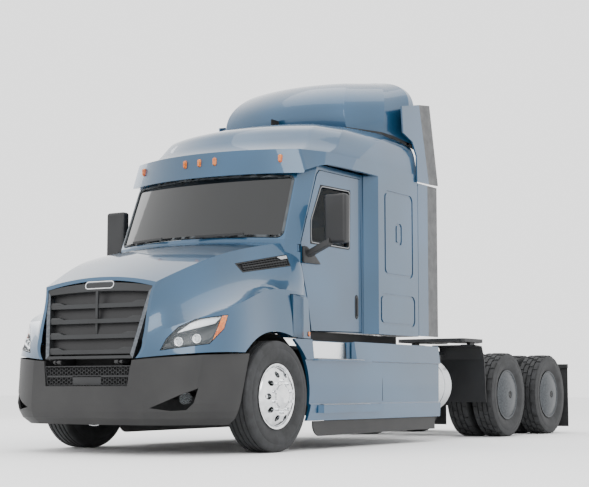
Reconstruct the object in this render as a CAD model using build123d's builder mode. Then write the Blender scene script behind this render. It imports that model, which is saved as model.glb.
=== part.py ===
from build123d import *
import os
from math import cos, radians, sin, sqrt

# Highway tractor unit with a mid-roof sleeper cab and tandem drive axles.
# X runs across (+X is the driver's side), Z is up and the nose faces -Y.
# Lengths are measured from the front axle, and save() moves each finished piece
# so that the origin lies on the ground at the middle of the vehicle's outline.

os.makedirs("parts", exist_ok=True)

# ---- driving dimensions, millimetres ----
tyre_radius = 508
tyre_width = 280
front_overhang = 1290
rear_end = 7150
mid_length = (rear_end - front_overhang) / 2
track_half = 1080            # centre of a front tyre, and of an outer rear tyre
dual_gap = 336               # between the centres of twin tyres
drive_axle_places = (5160, 6480)
side_x = 1190                # sleeper sides and fenders
door_x = 1070                # outer face of the doors
cab_floor = 1140
belt_line = 2000             # lower edge of the windscreen
roof_line = 2790             # joint between the cab walls and the roof cap
sleeper_front = 1830
sleeper_back = 2830
wall = 60
gap = 8                      # shut lines

# frame rails
rail_x = 432
rail_top = 1020
rail_height = 268
rail_flange = 88
rail_thick = 10
rail_front = -1010
rail_end = 7100

# steering
kingpin_x = 880
arm_length = 230
tie_rod_z = 375

# hood hinge
hood_pivot_y = -1233
hood_pivot_z = 812
hood_pin_r = 8
arm_place = 385                # centre of a hood arm


def save(piece, node):
    """Move a finished piece to the shared origin and write it out."""
    placed = piece.moved(Location((0, -mid_length, 0)))
    placed.label = node
    export_step(placed, f"parts/{node}.step")


def across(y):
    """Plane across the vehicle at y, with local x = X and local y = Z."""
    return Plane.XZ.offset(-y)


def along(x):
    """Lengthwise plane at x, with local x = Y and local y = Z."""
    return Plane.YZ.offset(x)


# ---- wheels and tyres ----
rim_flange_r = 298
rim_well_r = 252
rim_half = 116
disc_outset = 168
bolt_circle_r = 143
hub_r = 108


def rim_profile(x, outward):
    """Half section of a drop-centre rim whose centre is at x, as X and radius."""
    steps = ((116, 298), (106, 298), (103, 286), (58, 282), (40, 252), (-20, 252), (-45, 282),
             (-103, 286), (-106, 298), (-116, 298), (-116, 288), (-108, 278), (-50, 274),
             (-25, 244), (45, 244), (63, 274), (108, 278), (116, 288))
    return [(x + outward * dx, r) for dx, r in steps]


def disc_profile(x, outward):
    """Half section of the dished disc between the rim and the hub face."""
    steps = ((92, 279), (112, 266), (150, 226), (172, 178), (172, hub_r + 2), (150, hub_r + 2),
             (150, 166), (130, 206), (94, 246), (50, 250), (50, 270))
    return [(x + outward * dx, r) for dx, r in steps]


def tyre_profile(x):
    """Half section of a tyre carcass, open to the rim, as X and radius."""
    tread_half = 112
    bulge = tyre_width / 2
    bead_half = 100
    with BuildLine() as outline:
        Line((x - tread_half, tyre_radius), (x + tread_half, tyre_radius))
        ThreePointArc((x + tread_half, tyre_radius), (x + 126, 500), (x + 133, 484))
        ThreePointArc((x + 133, 484), (x + bulge, 405), (x + bead_half, 305))
        Line((x + bead_half, 305), (x + bead_half, 288))
        Line((x + bead_half, 288), (x + 78, 288))
        ThreePointArc((x + 78, 288), (x + 114, 400), (x + 104, 478))
        Line((x + 104, 478), (x - 104, 478))
        ThreePointArc((x - 104, 478), (x - 114, 400), (x - 78, 288))
        Line((x - 78, 288), (x - bead_half, 288))
        Line((x - bead_half, 288), (x - bead_half, 305))
        ThreePointArc((x - bead_half, 305), (x - bulge, 405), (x - 133, 484))
        ThreePointArc((x - 133, 484), (x - 126, 500), (x - tread_half, tyre_radius))
    return outline.line


def axle_line(y):
    """Axis of an axle, along X at the height of the hubs."""
    return Axis((0, y, tyre_radius), (1, 0, 0))


def radial_plane(y):
    """Plane through an axle, with local x = X and local y = height above the hub."""
    return Plane(origin=(0, y, tyre_radius), x_dir=(1, 0, 0), z_dir=(0, -1, 0))


def make_tyre(node, y, centres):
    with BuildPart() as tyre:
        for x in centres:
            with BuildSketch(radial_plane(y)):
                with BuildLine():
                    add(tyre_profile(x))
                make_face()
            revolve(axis=axle_line(y))
    save(tyre.part, node)


def make_front_wheel(node, side):
    x = side * track_half
    hub_in = kingpin_x + 90
    with BuildPart() as wheel:
        with BuildSketch(radial_plane(0)):
            with BuildLine():
                Polyline(*rim_profile(x, side), close=True)
            make_face()
            with BuildLine():
                Polyline(*disc_profile(x, side), close=True)
            make_face()
            # hub barrel, its flange behind the disc and the oil cap
            with BuildLine():
                Polyline(
                    (side * hub_in, 47), (side * hub_in, 96), (side * (track_half + 126), 96),
                    (side * (track_half + 126), 165), (side * (track_half + 150), 165),
                    (side * (track_half + 150), hub_r), (side * (track_half + 182), hub_r),
                    (side * (track_half + 200), 84), (side * (track_half + 212), 60),
                    (side * (track_half + 216), 0), (side * (track_half + 150), 0),
                    (side * (track_half + 150), 47), close=True)
            make_face()
            # brake drum between the hub and the rim
            with BuildLine():
                Polyline((side * 985, 190), (side * 985, 225), (side * 1150, 225), (side * 1206, 165),
                         (side * 1206, 96), (side * 1190, 96), (side * 1190, 140),
                         (side * 1140, 190), close=True)
            make_face()
        revolve(axis=axle_line(0))
        with BuildSketch(along(x + side * 90)):
            with Locations((0, tyre_radius)):
                with PolarLocations(207, 10):
                    Circle(29)
        extrude(amount=side * 120, mode=Mode.SUBTRACT)
        # wheel nuts on the hub studs
        with BuildSketch(along(x + side * 172)):
            with Locations((0, tyre_radius)):
                with PolarLocations(bolt_circle_r, 10, start_angle=18):
                    Circle(16)
        extrude(amount=side * 26)
    save(wheel.part, node)


def make_rear_wheels(node, side, y):
    outer = side * track_half
    inner = side * (track_half - dual_gap)
    face = side * (track_half - disc_outset)
    with BuildPart() as wheels:
        with BuildSketch(radial_plane(y)):
            for x, outward in ((outer, -side), (inner, side)):
                with BuildLine():
                    Polyline(*rim_profile(x, outward), close=True)
                make_face()
                with BuildLine():
                    Polyline(*disc_profile(x, outward), close=True)
                make_face()
            # hub barrel through both discs
            with BuildLine():
                Polyline((side * 650, 56), (side * 650, 105), (face, 108), (side * 1060, 108),
                         (side * 1130, 88), (side * 1140, 0), (side * 1095, 0),
                         (side * 1095, 56), close=True)
            make_face()
            # brake drum
            with BuildLine():
                Polyline((side * 640, 195), (side * 640, 228), (side * 845, 228), (side * 890, 165),
                         (side * 890, 104), (side * 870, 104), (side * 870, 160),
                         (side * 830, 195), close=True)
            make_face()
            # domed wheel cover clipped inside the outer rim
            with BuildLine():
                ThreePointArc((side * 1188, 280), (side * 1222, 170), (side * 1232, 45))
                Line((side * 1232, 45), (side * 1222, 45))
                ThreePointArc((side * 1222, 45), (side * 1212, 168), (side * 1182, 270))
                Line((side * 1182, 270), (side * 1170, 272))
                Line((side * 1170, 272), (side * 1170, 282))
                Line((side * 1170, 282), (side * 1188, 280))
            make_face()
        revolve(axis=axle_line(y))
    save(wheels.part, node)


# ---- steering knuckles ----
def make_knuckle(node, side):
    boss_low, boss_high = 440, 576
    with BuildPart() as knuckle:
        for low, high in ((boss_low - 62, boss_low - 5), (boss_high + 5, boss_high + 62)):
            with BuildSketch(Plane.XY.offset(low)):
                with Locations((side * kingpin_x, 0)):
                    Circle(48)
                with Locations((side * (kingpin_x + 35), 0)):
                    Rectangle(70, 90)
            extrude(amount=high - low)
        with Locations((side * (kingpin_x + 64), 0, tyre_radius)):
            Box(18, 150, 262)
        with BuildSketch(along(side * (kingpin_x + 70))):
            with Locations((0, tyre_radius)):
                Circle(46)
        extrude(amount=side * 140)
        with BuildSketch(Plane.XY.offset(boss_low - 62)):
            with Locations((side * kingpin_x, 0)):
                Circle(22)
        extrude(amount=262)
        # steering arm, straight back to the tie rod's ball joint
        with BuildSketch(Plane.XY.offset(tie_rod_z + 37)):
            with Locations((side * kingpin_x, arm_length / 2 + 20)):
                Rectangle(46, arm_length - 40)
            with Locations((side * kingpin_x, arm_length)):
                Circle(30)
        extrude(amount=22)
    save(knuckle.part, node)


# ---- frame ----
with BuildPart() as rails:
    with BuildSketch(across(rail_end)):
        for side in (-1, 1):
            with Locations((side * (rail_x - rail_flange / 2), rail_top - rail_height / 2)):
                Rectangle(rail_flange, rail_height)
            with Locations((side * (rail_x - rail_flange / 2 - rail_thick), rail_top - rail_height / 2)):
                Rectangle(rail_flange, rail_height - 2 * rail_thick, mode=Mode.SUBTRACT)
    extrude(amount=rail_end - rail_front)
save(rails.part, "frame_rails")

crossmember_places = (-970, 1900, 3300, 4400, 5820, 7065)
inside_web = rail_x - rail_thick
post_x = 330
with BuildPart() as crossmembers:
    # channels between the rails, each with a foot against either web
    for y in crossmember_places:
        with Locations((0, y, rail_top - rail_height / 2)):
            Box(2 * inside_web, 12, 180)
        for z in (-84, 84):
            with Locations((0, y, rail_top - rail_height / 2 + z)):
                Box(2 * inside_web - 20, 70, 12)
        for side in (-1, 1):
            with Locations((side * (inside_web - 6), y, rail_top - rail_height / 2)):
                Box(12, 70, 180)
    # hood hinge posts on the rail ends, each with its pin
    for side in (-1, 1):
        with BuildSketch(along(side * post_x - 20)):
            Polygon((rail_front, 770), (rail_front, 890), (rail_front - 30, 890),
                    (rail_front - 120, 838), (hood_pivot_y, hood_pivot_z + 17),
                    (hood_pivot_y, hood_pivot_z - 17), (rail_front - 60, 765), align=None)
            with Locations((hood_pivot_y, hood_pivot_z)):
                Circle(17)
        extrude(amount=40)
        with Locations((side * (post_x + 35), hood_pivot_y, hood_pivot_z)):
            Cylinder(hood_pin_r, 74, rotation=(0, 90, 0))
        with Locations((side * (post_x + 38), rail_front - 10, 835)):
            Box(80, 20, 110)
save(crossmembers.part, "crossmembers")

# ---- engine and gearbox, one plain block ----
with BuildPart() as engine:
    with BuildSketch(along(-330)):
        Polygon((-560, 560), (-560, 1500), (120, 1560), (120, 1080), (900, 1040), (1750, 930),
                (1750, 600), (400, 560), align=None)
    extrude(amount=660)
save(engine.part, "engine_block")

with BuildPart() as radiator:
    with BuildSketch(across(-790)):
        with Locations((0, 1235)):
            Rectangle(860, 410)
        with Locations((0, 860)):
            Rectangle(640, 400)
    extrude(amount=140)
save(radiator.part, "radiator")

# ---- front axle ----
with BuildPart() as front_axle:
    with BuildSketch(across(45)):
        with BuildLine() as beam_line:
            Polyline((kingpin_x, 458), (760, 442), (560, 372), (-560, 372), (-760, 442), (-kingpin_x, 458),
                     (-kingpin_x, 566), (-730, 540), (-540, 470), (540, 470), (730, 540),
                     (kingpin_x, 566), close=True)
        make_face()
    extrude(amount=90)
    for side in (-1, 1):
        with Locations((side * kingpin_x, 0, 508)):
            Cylinder(48, 136)
        with Locations((side * kingpin_x, 0, 508)):
            Cylinder(23, 140, mode=Mode.SUBTRACT)
save(front_axle.part, "front_axle")

# ---- tie rod ----
with BuildPart() as tie_rod:
    with BuildSketch(along(-kingpin_x + 34)):
        with Locations((arm_length, tie_rod_z)):
            Circle(20)
    extrude(amount=2 * kingpin_x - 68)
    for side in (-1, 1):
        with Locations((side * kingpin_x, arm_length, tie_rod_z)):
            Cylinder(34, 62)
save(tie_rod.part, "tie_rod")

# ---- drive axles with their shafts ----
with BuildPart() as drive_axles:
    for y in drive_axle_places:
        with Locations((0, y, tyre_radius)):
            Cylinder(72, 1240, rotation=(0, 90, 0))
            Cylinder(50, 2160, rotation=(0, 90, 0))
            Sphere(215)
        with BuildSketch(across(y)):
            with Locations((0, tyre_radius + 30)):
                Circle(110)
        extrude(amount=330)
    # propeller shafts from the gearbox and between the axles
    with BuildSketch(across(drive_axle_places[1] - 200)):
        with Locations((0, tyre_radius + 30)):
            Circle(48)
    extrude(amount=drive_axle_places[1] - drive_axle_places[0] - 200)
    with BuildSketch(across(drive_axle_places[0] - 300)):
        with Locations((0, tyre_radius + 30)):
            Circle(55)
    extrude(amount=drive_axle_places[0] - 300 - 1740)
save(drive_axles.part, "drive_axles")

# ---- suspension: front leaf springs, rear arms and air springs ----
spring_x = 400
leaf_thick = 14
arm_x = 388
air_spring_r = 122

with BuildPart() as suspension:
    for side in (-1, 1):
        # each leaf is shorter and lower than the one above it
        for leaf in range(3):
            span = 720 - 150 * leaf
            low = 520 - 16 * leaf
            rise = 150 * (span / 720) ** 2
            with BuildSketch(along(side * spring_x - 45)):
                with BuildLine():
                    ThreePointArc((-span, low + rise), (0, low), (span, low + rise))
                    Line((span, low + rise), (span, low + leaf_thick + rise))
                    ThreePointArc((span, low + leaf_thick + rise), (0, low + leaf_thick),
                                  (-span, low + leaf_thick + rise))
                    Line((-span, low + leaf_thick + rise), (-span, low + rise))
                make_face()
            extrude(amount=90)
        # spring eyes and the hangers under the rail
        for y in (-720, 720):
            with Locations((side * spring_x, y, 680)):
                Cylinder(34, 96, rotation=(0, 90, 0))
            with Locations((side * spring_x, y, 719)):
                Box(64, 110, 64)
        # axle seat, and the damper beside it
        with Locations((side * spring_x, 0, 514)):
            Box(120, 120, 86)
        with Locations((side * (spring_x + 95), 0, 496)):
            Box(110, 60, 40)
        with Locations((side * (spring_x + 112), 0, 680)):
            Cylinder(32, 380)
    for y in drive_axle_places:
        for side in (-1, 1):
            # trailing arm under the axle, its hanger and the air spring on its tail
            with BuildSketch(along(side * arm_x - 40)):
                Polygon((y - 540, 560), (y - 540, 630), (y - 130, 432), (y + 460, 432), (y + 460, 372),
                        (y - 60, 372), align=None)
            extrude(amount=80)
            with Locations((side * arm_x, y - 500, 655)):
                Box(84, 120, 190)
            with Locations((side * arm_x, y + 330, 591)):
                Cylinder(air_spring_r, 318)
            # clamp over the axle
            with Locations((side * arm_x, y, 590)):
                Box(120, 150, 18)
            for bolt_y in (y - 90, y + 90):
                with Locations((side * arm_x, bolt_y, 515)):
                    Box(120, 20, 168)
save(suspension.part, "suspension")

# ---- fuel tanks ----
tank_r = 303
tank_x = 850
tank_z = 620
with BuildPart() as fuel_tanks:
    for side in (-1, 1):
        with BuildSketch(across(3720)):
            with Locations((side * tank_x, tank_z)):
                Circle(tank_r)
        extrude(amount=1500)
    fillet(fuel_tanks.faces().filter_by(GeomType.PLANE).edges(), radius=25)
    for side in (-1, 1):
        for y in (2420, 3000, 3560):
            with BuildSketch(across(y + 30)):
                with Locations((side * tank_x, tank_z)):
                    Circle(tank_r + 4)
                with Locations((side * (rail_x + 70), tank_z + 80)):
                    Rectangle(140, 500)
            extrude(amount=60)
save(fuel_tanks.part, "fuel_tanks")

# ---- battery box (driver's side) and exhaust aftertreatment box ----
with BuildPart() as step_boxes:
    for side in (-1, 1):
        with Locations((side * 770, 1400, 640)):
            Box(600, 1200, 640)
        with Locations((side * 452, 1400, 860)):
            Box(38, 900, 160)
save(step_boxes.part, "step_boxes")

# ---- side fairings with the cab steps ----
fairing_back = 3294
fairing_bottom = 276
skirt_bottom = 128

with BuildPart() as side_fairings:
    for side in (-1, 1):
        with BuildSketch(across(fairing_back)):
            Polygon((side * 1192, 1045), (side * 1216, 856), (side * 1196, 846), (side * 1192, 440),
                    (side * 1216, 424), (side * 1206, fairing_bottom), (side * 1176, fairing_bottom),
                    (side * 1182, 410), (side * 1164, 430), (side * 1166, 1040), align=None)
        extrude(amount=fairing_back - 300)
    with BuildSketch(along(-1300)) as arch_cut:
        with BuildLine():
            Line((-300, 1100), (240, 1100))
            Line((240, 1100), (318, 1021))
            ThreePointArc((318, 1021), (567, 600), (495, 270))
            Line((495, 270), (495, 0))
            Line((495, 0), (-300, 0))
            Line((-300, 0), (-300, 1100))
        make_face()
    extrude(amount=2600, mode=Mode.SUBTRACT)
    for side in (-1, 1):
        # recess for the upper step
        with BuildSketch(Plane.XY.offset(856)):
            Polygon((side * 1100, 660), (side * 1230, 612), (side * 1230, 1443), (side * 1100, 1380),
                    align=None)
        extrude(amount=250, mode=Mode.SUBTRACT)
        with BuildSketch(Plane.XY.offset(846)):
            Polygon((side * 1090, 612), (side * 1208, 612), (side * 1236, 657), (side * 1236, 1700),
                    (side * 1208, 1730), (side * 1090, 1460), align=None)
        extrude(amount=14)
        with BuildSketch(Plane.XY.offset(856)):
            Polygon((side * 1166, 600), (side * 1112, 640), (side * 1112, 1400), (side * 1166, 1460),
                    (side * 1146, 1460), (side * 1094, 1412), (side * 1094, 628), (side * 1146, 600),
                    align=None)
        extrude(amount=184)
        with BuildSketch(Plane.XY.offset(348)):
            Polygon((side * 1170, 674), (side * 1225, 674), (side * 1262, 720), (side * 1262, 1890),
                    (side * 1215, 1935), (side * 1170, 1935), align=None)
        extrude(amount=75)
        # brackets to the frame
        for y in (1560, 2300, 3100):
            with Locations((side * 1090, y, 990)):
                Box(190, 60, 40)
save(side_fairings.part, "side_fairings")

with BuildPart() as skirts:
    for side in (-1, 1):
        with BuildSketch(along(side * 1186)):
            with BuildLine():
                Line((640, 272), (3203, 272))
                Line((3203, 272), (3203, skirt_bottom + 14))
                Line((3203, skirt_bottom + 14), (760, skirt_bottom))
                ThreePointArc((760, skirt_bottom), (674, skirt_bottom + 36), (640, 220))
                Line((640, 220), (640, 272))
            make_face()
        extrude(amount=side * -14)
save(skirts.part, "fairing_skirts")

# ---- bumper ----
# One row for each level: height, nose, then the shoulder, corner and tail.
bumper_levels = (
    (262, -1210, (600, -1180), (915, -955), (1105, -650)),
    (320, -1268, (630, -1240), (972, -1008), (1162, -612)),
    (380, -1284, (638, -1258), (1000, -1030), (1180, -598)),
    (450, -1288, (640, -1262), (1018, -1038), (1188, -578)),
    (905, -1262, (640, -1235), (1062, -962), (1190, -430)),
)
bumper_shell = 22
fog_x, fog_y, fog_z = 930, -1050, 495
# Corners of the fog lamp's recess on a plane facing its corner of the bumper.
fog_outline = ((-300, -84), (-120, -108), (10, -100), (72, -40), (112, 86), (40, 60), (-60, 24))


def bulged(start, end, rise):
    """Point off the middle of a chord, towards the nose and the nearer side."""
    side = 1 if start[0] > 0 else -1
    run_x = side * (end[0] - start[0])
    run_y = end[1] - start[1]
    length = sqrt(run_x ** 2 + run_y ** 2)
    return ((start[0] + end[0]) / 2 + side * rise * run_y / length,
            (start[1] + end[1]) / 2 - rise * run_x / length)


def bumper_outline(height, nose, shoulder, corner, tail, inset):
    """Plan of the bumper, bowed across the nose and open to the rear."""
    back = -300
    with BuildSketch(Plane.XY.offset(height)) as plan:
        with BuildLine():
            ThreePointArc((-shoulder[0], shoulder[1] + inset), (0, nose + inset),
                          (shoulder[0], shoulder[1] + inset))
            for side in (-1, 1):
                front_end = (side * shoulder[0], shoulder[1] + inset)
                crease = (side * (corner[0] - inset / 2), corner[1] + inset)
                rear_end = (side * (tail[0] - inset), tail[1])
                ThreePointArc(front_end, bulged(front_end, crease, 38), crease)
                ThreePointArc(crease, bulged(crease, rear_end, 16), rear_end)
                Line(rear_end, (side * (tail[0] - inset), back))
            Line((-tail[0] + inset, back), (tail[0] - inset, back))
        make_face()
    return plan.sketch


with BuildPart() as bumper:
    loft([bumper_outline(*level, 0) for level in bumper_levels], ruled=True)
    loft([bumper_outline(level[0] + (1 if level[0] > 800 else -1), *level[1:], bumper_shell)
          for level in bumper_levels], ruled=True, mode=Mode.SUBTRACT)
    # rear edge raked to follow the wheel arch
    with BuildSketch(along(-1300)):
        Polygon((-655, 200), (-428, 920), (-100, 920), (-100, 200), align=None)
    extrude(amount=2600, mode=Mode.SUBTRACT)
    # top edge rising from the nose to the sides, above the opening of the lower grille
    with BuildSketch(across(-200)):
        Polygon((-1300, 890), (-1190, 889), (-1120, 876), (-1000, 862), (-505, 825), (-470, 600),
                (470, 600), (505, 825), (1000, 862), (1120, 876), (1190, 889), (1300, 890),
                (1300, 1000), (-1300, 1000), align=None)
    extrude(amount=1300, mode=Mode.SUBTRACT)
    # openings of the fog lamps in the corners
    for side in (-1, 1):
        with BuildSketch(Plane(origin=(side * fog_x, fog_y, fog_z), x_dir=(side * 0.7, 0.71, 0),
                               z_dir=(side * 0.71, -0.7, 0))):
            Polygon(*[(place, up * side) for place, up in fog_outline], align=None)
        extrude(amount=80, both=True, mode=Mode.SUBTRACT)
    # plates that carry the bumper on the rails, passing below the lower grille
    for side in (-1, 1):
        with BuildSketch(along(side * 418 - 14)):
            Polygon((rail_front, 775), (rail_front, 600), (-1160, 500), (-1262, 500), (-1262, 590),
                    (-1215, 600), (-1150, 700), (-1090, 775), align=None)
        extrude(amount=28)
save(bumper.part, "bumper")

mesh_front = -1250
with BuildPart() as bumper_grille:
    with BuildSketch(across(mesh_front + 20)):
        Polygon((-494, 780), (494, 780), (468, 604), (-468, 604), align=None)
    extrude(amount=20)
save(bumper_grille.part, "bumper_grille")


# ---- cab ----
def bowed_plan(height, nose, flank, back, inset=0, rounding=0):
    """Plan with a bowed front, side points from front to back and a straight rear."""
    corner_x, corner_y = flank[0]
    with BuildSketch(Plane.XY.offset(height)) as plan:
        with BuildLine():
            ThreePointArc((-corner_x + inset, corner_y + inset), (0, nose + inset),
                          (corner_x - inset, corner_y + inset))
            for side in (-1, 1):
                points = [(side * (x - inset), y + inset) for x, y in flank[:1]]
                points += [(side * (x - inset), y + inset / 2) for x, y in flank[1:]]
                Polyline(*points, (side * (flank[-1][0] - inset), back))
            Line((-flank[-1][0] + inset, back), (flank[-1][0] - inset, back))
        make_face()
        if rounding:
            fillet(plan.vertices().sort_by(Axis.Y)[:-2], radius=rounding)
    return plan.sketch


cab_low = (205, ((1000, 425), (door_x, 600)))
cab_high = (520, ((975, 740), (door_x - 8, 930)))


def cab_solid(inset, floor, back):
    """Closed form of the cab, shrunk by inset on its front and sides."""
    with BuildPart() as form:
        loft([bowed_plan(floor, *cab_low, back, inset), bowed_plan(belt_line, *cab_low, back, inset),
              bowed_plan(roof_line, *cab_high, back, inset)], ruled=True)
    return form.part


door_outline = ((610, 1790), (612, 1990), (640, 2060), (905, 2690), (960, 2738), (1775, 2745),
                (1795, 1150), (800, 1130), (735, 1416))
window_outline = ((783, 1985), (783, 2210), (975, 2590), (1565, 2602), (1552, 2030), (1510, 1985))


def windscreen_outline(margin):
    """Outline of the windscreen seen from the front."""
    low, high = 2012 + margin, 2652 - margin
    low_x, high_x = 985 - margin, 965 - margin
    with BuildSketch(across(900)) as outline:
        with BuildLine():
            ThreePointArc((-low_x, low), (0, low + 22), (low_x, low))
            Line((low_x, low), (high_x, high))
            ThreePointArc((high_x, high), (0, high + 30), (-high_x, high))
            Line((-high_x, high), (-low_x, low))
        make_face()
        fillet(outline.vertices(), radius=60)
    return outline.sketch


cab_outer = cab_solid(0, cab_floor, sleeper_front - 5)
cab_hollow = cab_solid(wall, cab_floor + wall, sleeper_front + 100)
windscreen_hole = windscreen_outline(0)
cowl_top = 1455
hinge_x, hinge_y = 1050, 590
hinge_places = (1690, 1925)
hinge_pin_r = 5
pocket_height = 76

with BuildPart() as cab_shell:
    add(cab_outer)
    add(cab_hollow, mode=Mode.SUBTRACT)
    extrude(windscreen_hole, amount=900, mode=Mode.SUBTRACT)
    # cowl sides between the hood and the doors
    for side in (-1, 1):
        with BuildSketch(Plane.XY.offset(1060)):
            Polygon((side * 1010, 285), (side * side_x, 285), (side * 1082, 640), (side * 1072, 820),
                    (side * 1010, 820), align=None)
        extrude(amount=cowl_top - 1060)
    # door openings
    with BuildSketch(along(-1250)):
        Polygon(*door_outline, align=None)
        Polygon((790, 1000), (735, 1416), (830, 1416), (830, 1000), align=None)
    extrude(amount=2500, mode=Mode.SUBTRACT)
    # rebate in front of the doors, which their front edges swing past
    for side in (-1, 1):
        with BuildSketch(along(side * (door_x - 8))):
            Polygon(*door_outline, align=None)
            offset(amount=8)
            with Locations((640, 2000)):
                Rectangle(160, 1200, mode=Mode.INTERSECT)
        extrude(amount=side * 30, mode=Mode.SUBTRACT)
    # pocket and pin of each door hinge
    for side in (-1, 1):
        for z in hinge_places:
            with Locations((side * (hinge_x + 10), hinge_y + 30, z)):
                Box(52, 104, pocket_height, mode=Mode.SUBTRACT)
            with Locations((side * hinge_x, hinge_y, z)):
                Cylinder(hinge_pin_r, pocket_height)
save(cab_shell.part, "cab_shell")

# ---- windscreen ----
glass_outer = cab_solid(5, cab_floor, 1500)
glass_inner = cab_solid(12, cab_floor - 5, 1505)
windscreen_edge = windscreen_outline(3)

with BuildPart() as windscreen:
    add(glass_outer)
    add(glass_inner, mode=Mode.SUBTRACT)
    extrude(windscreen_edge, amount=900, mode=Mode.INTERSECT)
save(windscreen.part, "windscreen")

# ---- doors, their windows, and the mirrors and handles ----
door_skin = 7
mirror_centre_x = 1362
mirror_width = 244
for side, word in ((1, "left"), (-1, "right")):
    with BuildPart() as door:
        # outer skin, and the pan inside it set back from the edges
        with BuildSketch(along(side * (door_x - door_skin - 1))):
            Polygon(*door_outline, align=None)
            offset(amount=-gap)
            Polygon(*window_outline, align=None, mode=Mode.SUBTRACT)
        extrude(amount=side * door_skin)
        with BuildSketch(along(side * (door_x - wall))):
            Polygon(*door_outline, align=None)
            offset(amount=-gap - 14)
            Polygon(*window_outline, align=None, mode=Mode.SUBTRACT)
        extrude(amount=side * (wall - 1))
        # pull of the handle sits over a shallow recess
        with BuildSketch(along(side * door_x)):
            with Locations((1685, 1410)):
                SlotOverall(250, 62, rotation=90)
        extrude(amount=-side * 18, mode=Mode.SUBTRACT)
        # hinge barrels and the straps that carry them
        for z in hinge_places:
            with Locations((side * (hinge_x - 7.5), hinge_y + 44, z)):
                Box(7, 78, pocket_height - 16)
            with Locations((side * hinge_x, hinge_y, z)):
                Cylinder(12, pocket_height - 16)
                Cylinder(hinge_pin_r + 0.5, pocket_height, mode=Mode.SUBTRACT)
    save(door.part, f"door_{word}")
    with BuildPart() as glass:
        with BuildSketch(along(side * (door_x - 34))):
            Polygon(*window_outline, align=None)
        extrude(amount=side * 6)
    save(glass.part, f"door_window_{word}")
    with BuildPart() as fittings:
        # mirror base, arm and head
        with BuildSketch(along(side * (door_x - 1))):
            Polygon((628, 1786), (628, 1950), (690, 1950), (800, 1900), (950, 1792), align=None)
        extrude(amount=side * 30)
        with BuildSketch(Plane(origin=(side * (door_x + 22), 700, 1858), x_dir=(0, 1, 0),
                               z_dir=(side * 300, 70, 150))):
            Rectangle(46, 70)
        extrude(amount=330)
        with Locations((side * mirror_centre_x, 800, 2213)):
            Box(mirror_width, 110, 486)
        # door handle
        with BuildSketch(along(side * (door_x - 18))):
            with Locations((1685, 1410)):
                SlotOverall(244, 56, rotation=90)
        extrude(amount=side * 34)
    save(fittings.part, f"door_fittings_{word}")

# ---- sleeper ----
sleeper_corner = 110


def sleeper_prism(inset, low, high, front, back):
    with BuildPart() as prism:
        with BuildSketch(Plane.XY.offset(low)):
            Polygon((door_x - inset, front), (side_x - inset, front + sleeper_corner),
                    (side_x - inset, back), (-side_x + inset, back),
                    (-side_x + inset, front + sleeper_corner), (-door_x + inset, front), align=None)
        extrude(amount=high - low)
    return prism.part


# One row for each embossed panel: centre along and up, length, height, corner radius.
panel_rows = ((2390, 2212, 640, 900, 70), (2366, 1404, 770, 330, 70), (2385, 2218, 140, 230, 40))
groove = 26
sleeper_outer = sleeper_prism(0, cab_floor, roof_line, sleeper_front, sleeper_back)
sleeper_hollow = sleeper_prism(wall, cab_floor + wall, roof_line + 1, sleeper_front - 10,
                               sleeper_back - wall)

with BuildPart() as sleeper_shell:
    add(sleeper_outer)
    add(sleeper_hollow, mode=Mode.SUBTRACT)
    for side in (-1, 1):
        with BuildSketch(along(side * side_x)):
            for y, z, length, height, radius in panel_rows:
                with Locations((y, z)):
                    RectangleRounded(length, height, radius)
                    RectangleRounded(length - 2 * groove, height - 2 * groove, radius - groove / 2,
                                     mode=Mode.SUBTRACT)
        extrude(amount=-side * 9, mode=Mode.SUBTRACT)
save(sleeper_shell.part, "sleeper_shell")

# ---- roof cap ----
# One row for each level: height, nose, corner, shoulder, flank and rear.
visor_low = 2672
band_levels = (
    (visor_low, 405, (1085, 690), (1150, 900), (1188, 1300), 2828),
    (2915, 415, (1000, 695), (1130, 985), (1188, 1500), 2828),
)
cap_levels = (
    (2860, 520, (975, 760), (1095, 1040), (1176, 1540), 2822),
    (2950, 620, (955, 860), (1100, 1150), (1177, 1600), 2824),
    (3040, 735, (930, 975), (1092, 1290), (1172, 1750), 2820),
    (3130, 810, (900, 1050), (1068, 1370), (1162, 1910), 2806),
    (3230, 940, (855, 1180), (1020, 1530), (1128, 2200), 2755),
    (3300, 1180, (740, 1400), (915, 1750), (1035, 2300), 2690),
    (3322, 1330, (640, 1500), (815, 1820), (950, 2310), 2650),
)
cap_shell = 45


def cap_section(height, nose, corner, shoulder, flank, back, inset=0, rounding=70):
    return bowed_plan(height, nose, (corner, shoulder, flank), back - inset, inset, rounding)


with BuildPart() as band:
    # straight band under the dome; its front lip is the sun visor
    loft([cap_section(*level) for level in band_levels], ruled=True)

with BuildPart() as dome:
    loft([cap_section(*level) for level in cap_levels])

with BuildPart() as cap_hollow:
    inner_sections = [cap_section(roof_line - 1, *band_levels[0][1:], cap_shell, 0)]
    for height, *plan in cap_levels[1:-1]:
        inner_sections.append(cap_section(height - cap_shell, *plan, cap_shell, 0))
    loft(inner_sections, ruled=True)

cab_clearance = cab_solid(-12, cab_floor - 300, sleeper_front)

with BuildPart() as roof_cap:
    add(band.part)
    add(dome.part)
    add(cap_hollow.part, mode=Mode.SUBTRACT)
    add(cab_clearance, mode=Mode.SUBTRACT)
    with BuildSketch(along(-1300)):
        Polygon((640, 2600), (690, 2700), (880, 2765), (1010, roof_line), (3000, roof_line),
                (3000, 2600), align=None)
    extrude(amount=2600, mode=Mode.SUBTRACT)
save(roof_cap.part, "roof_cap")

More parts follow.
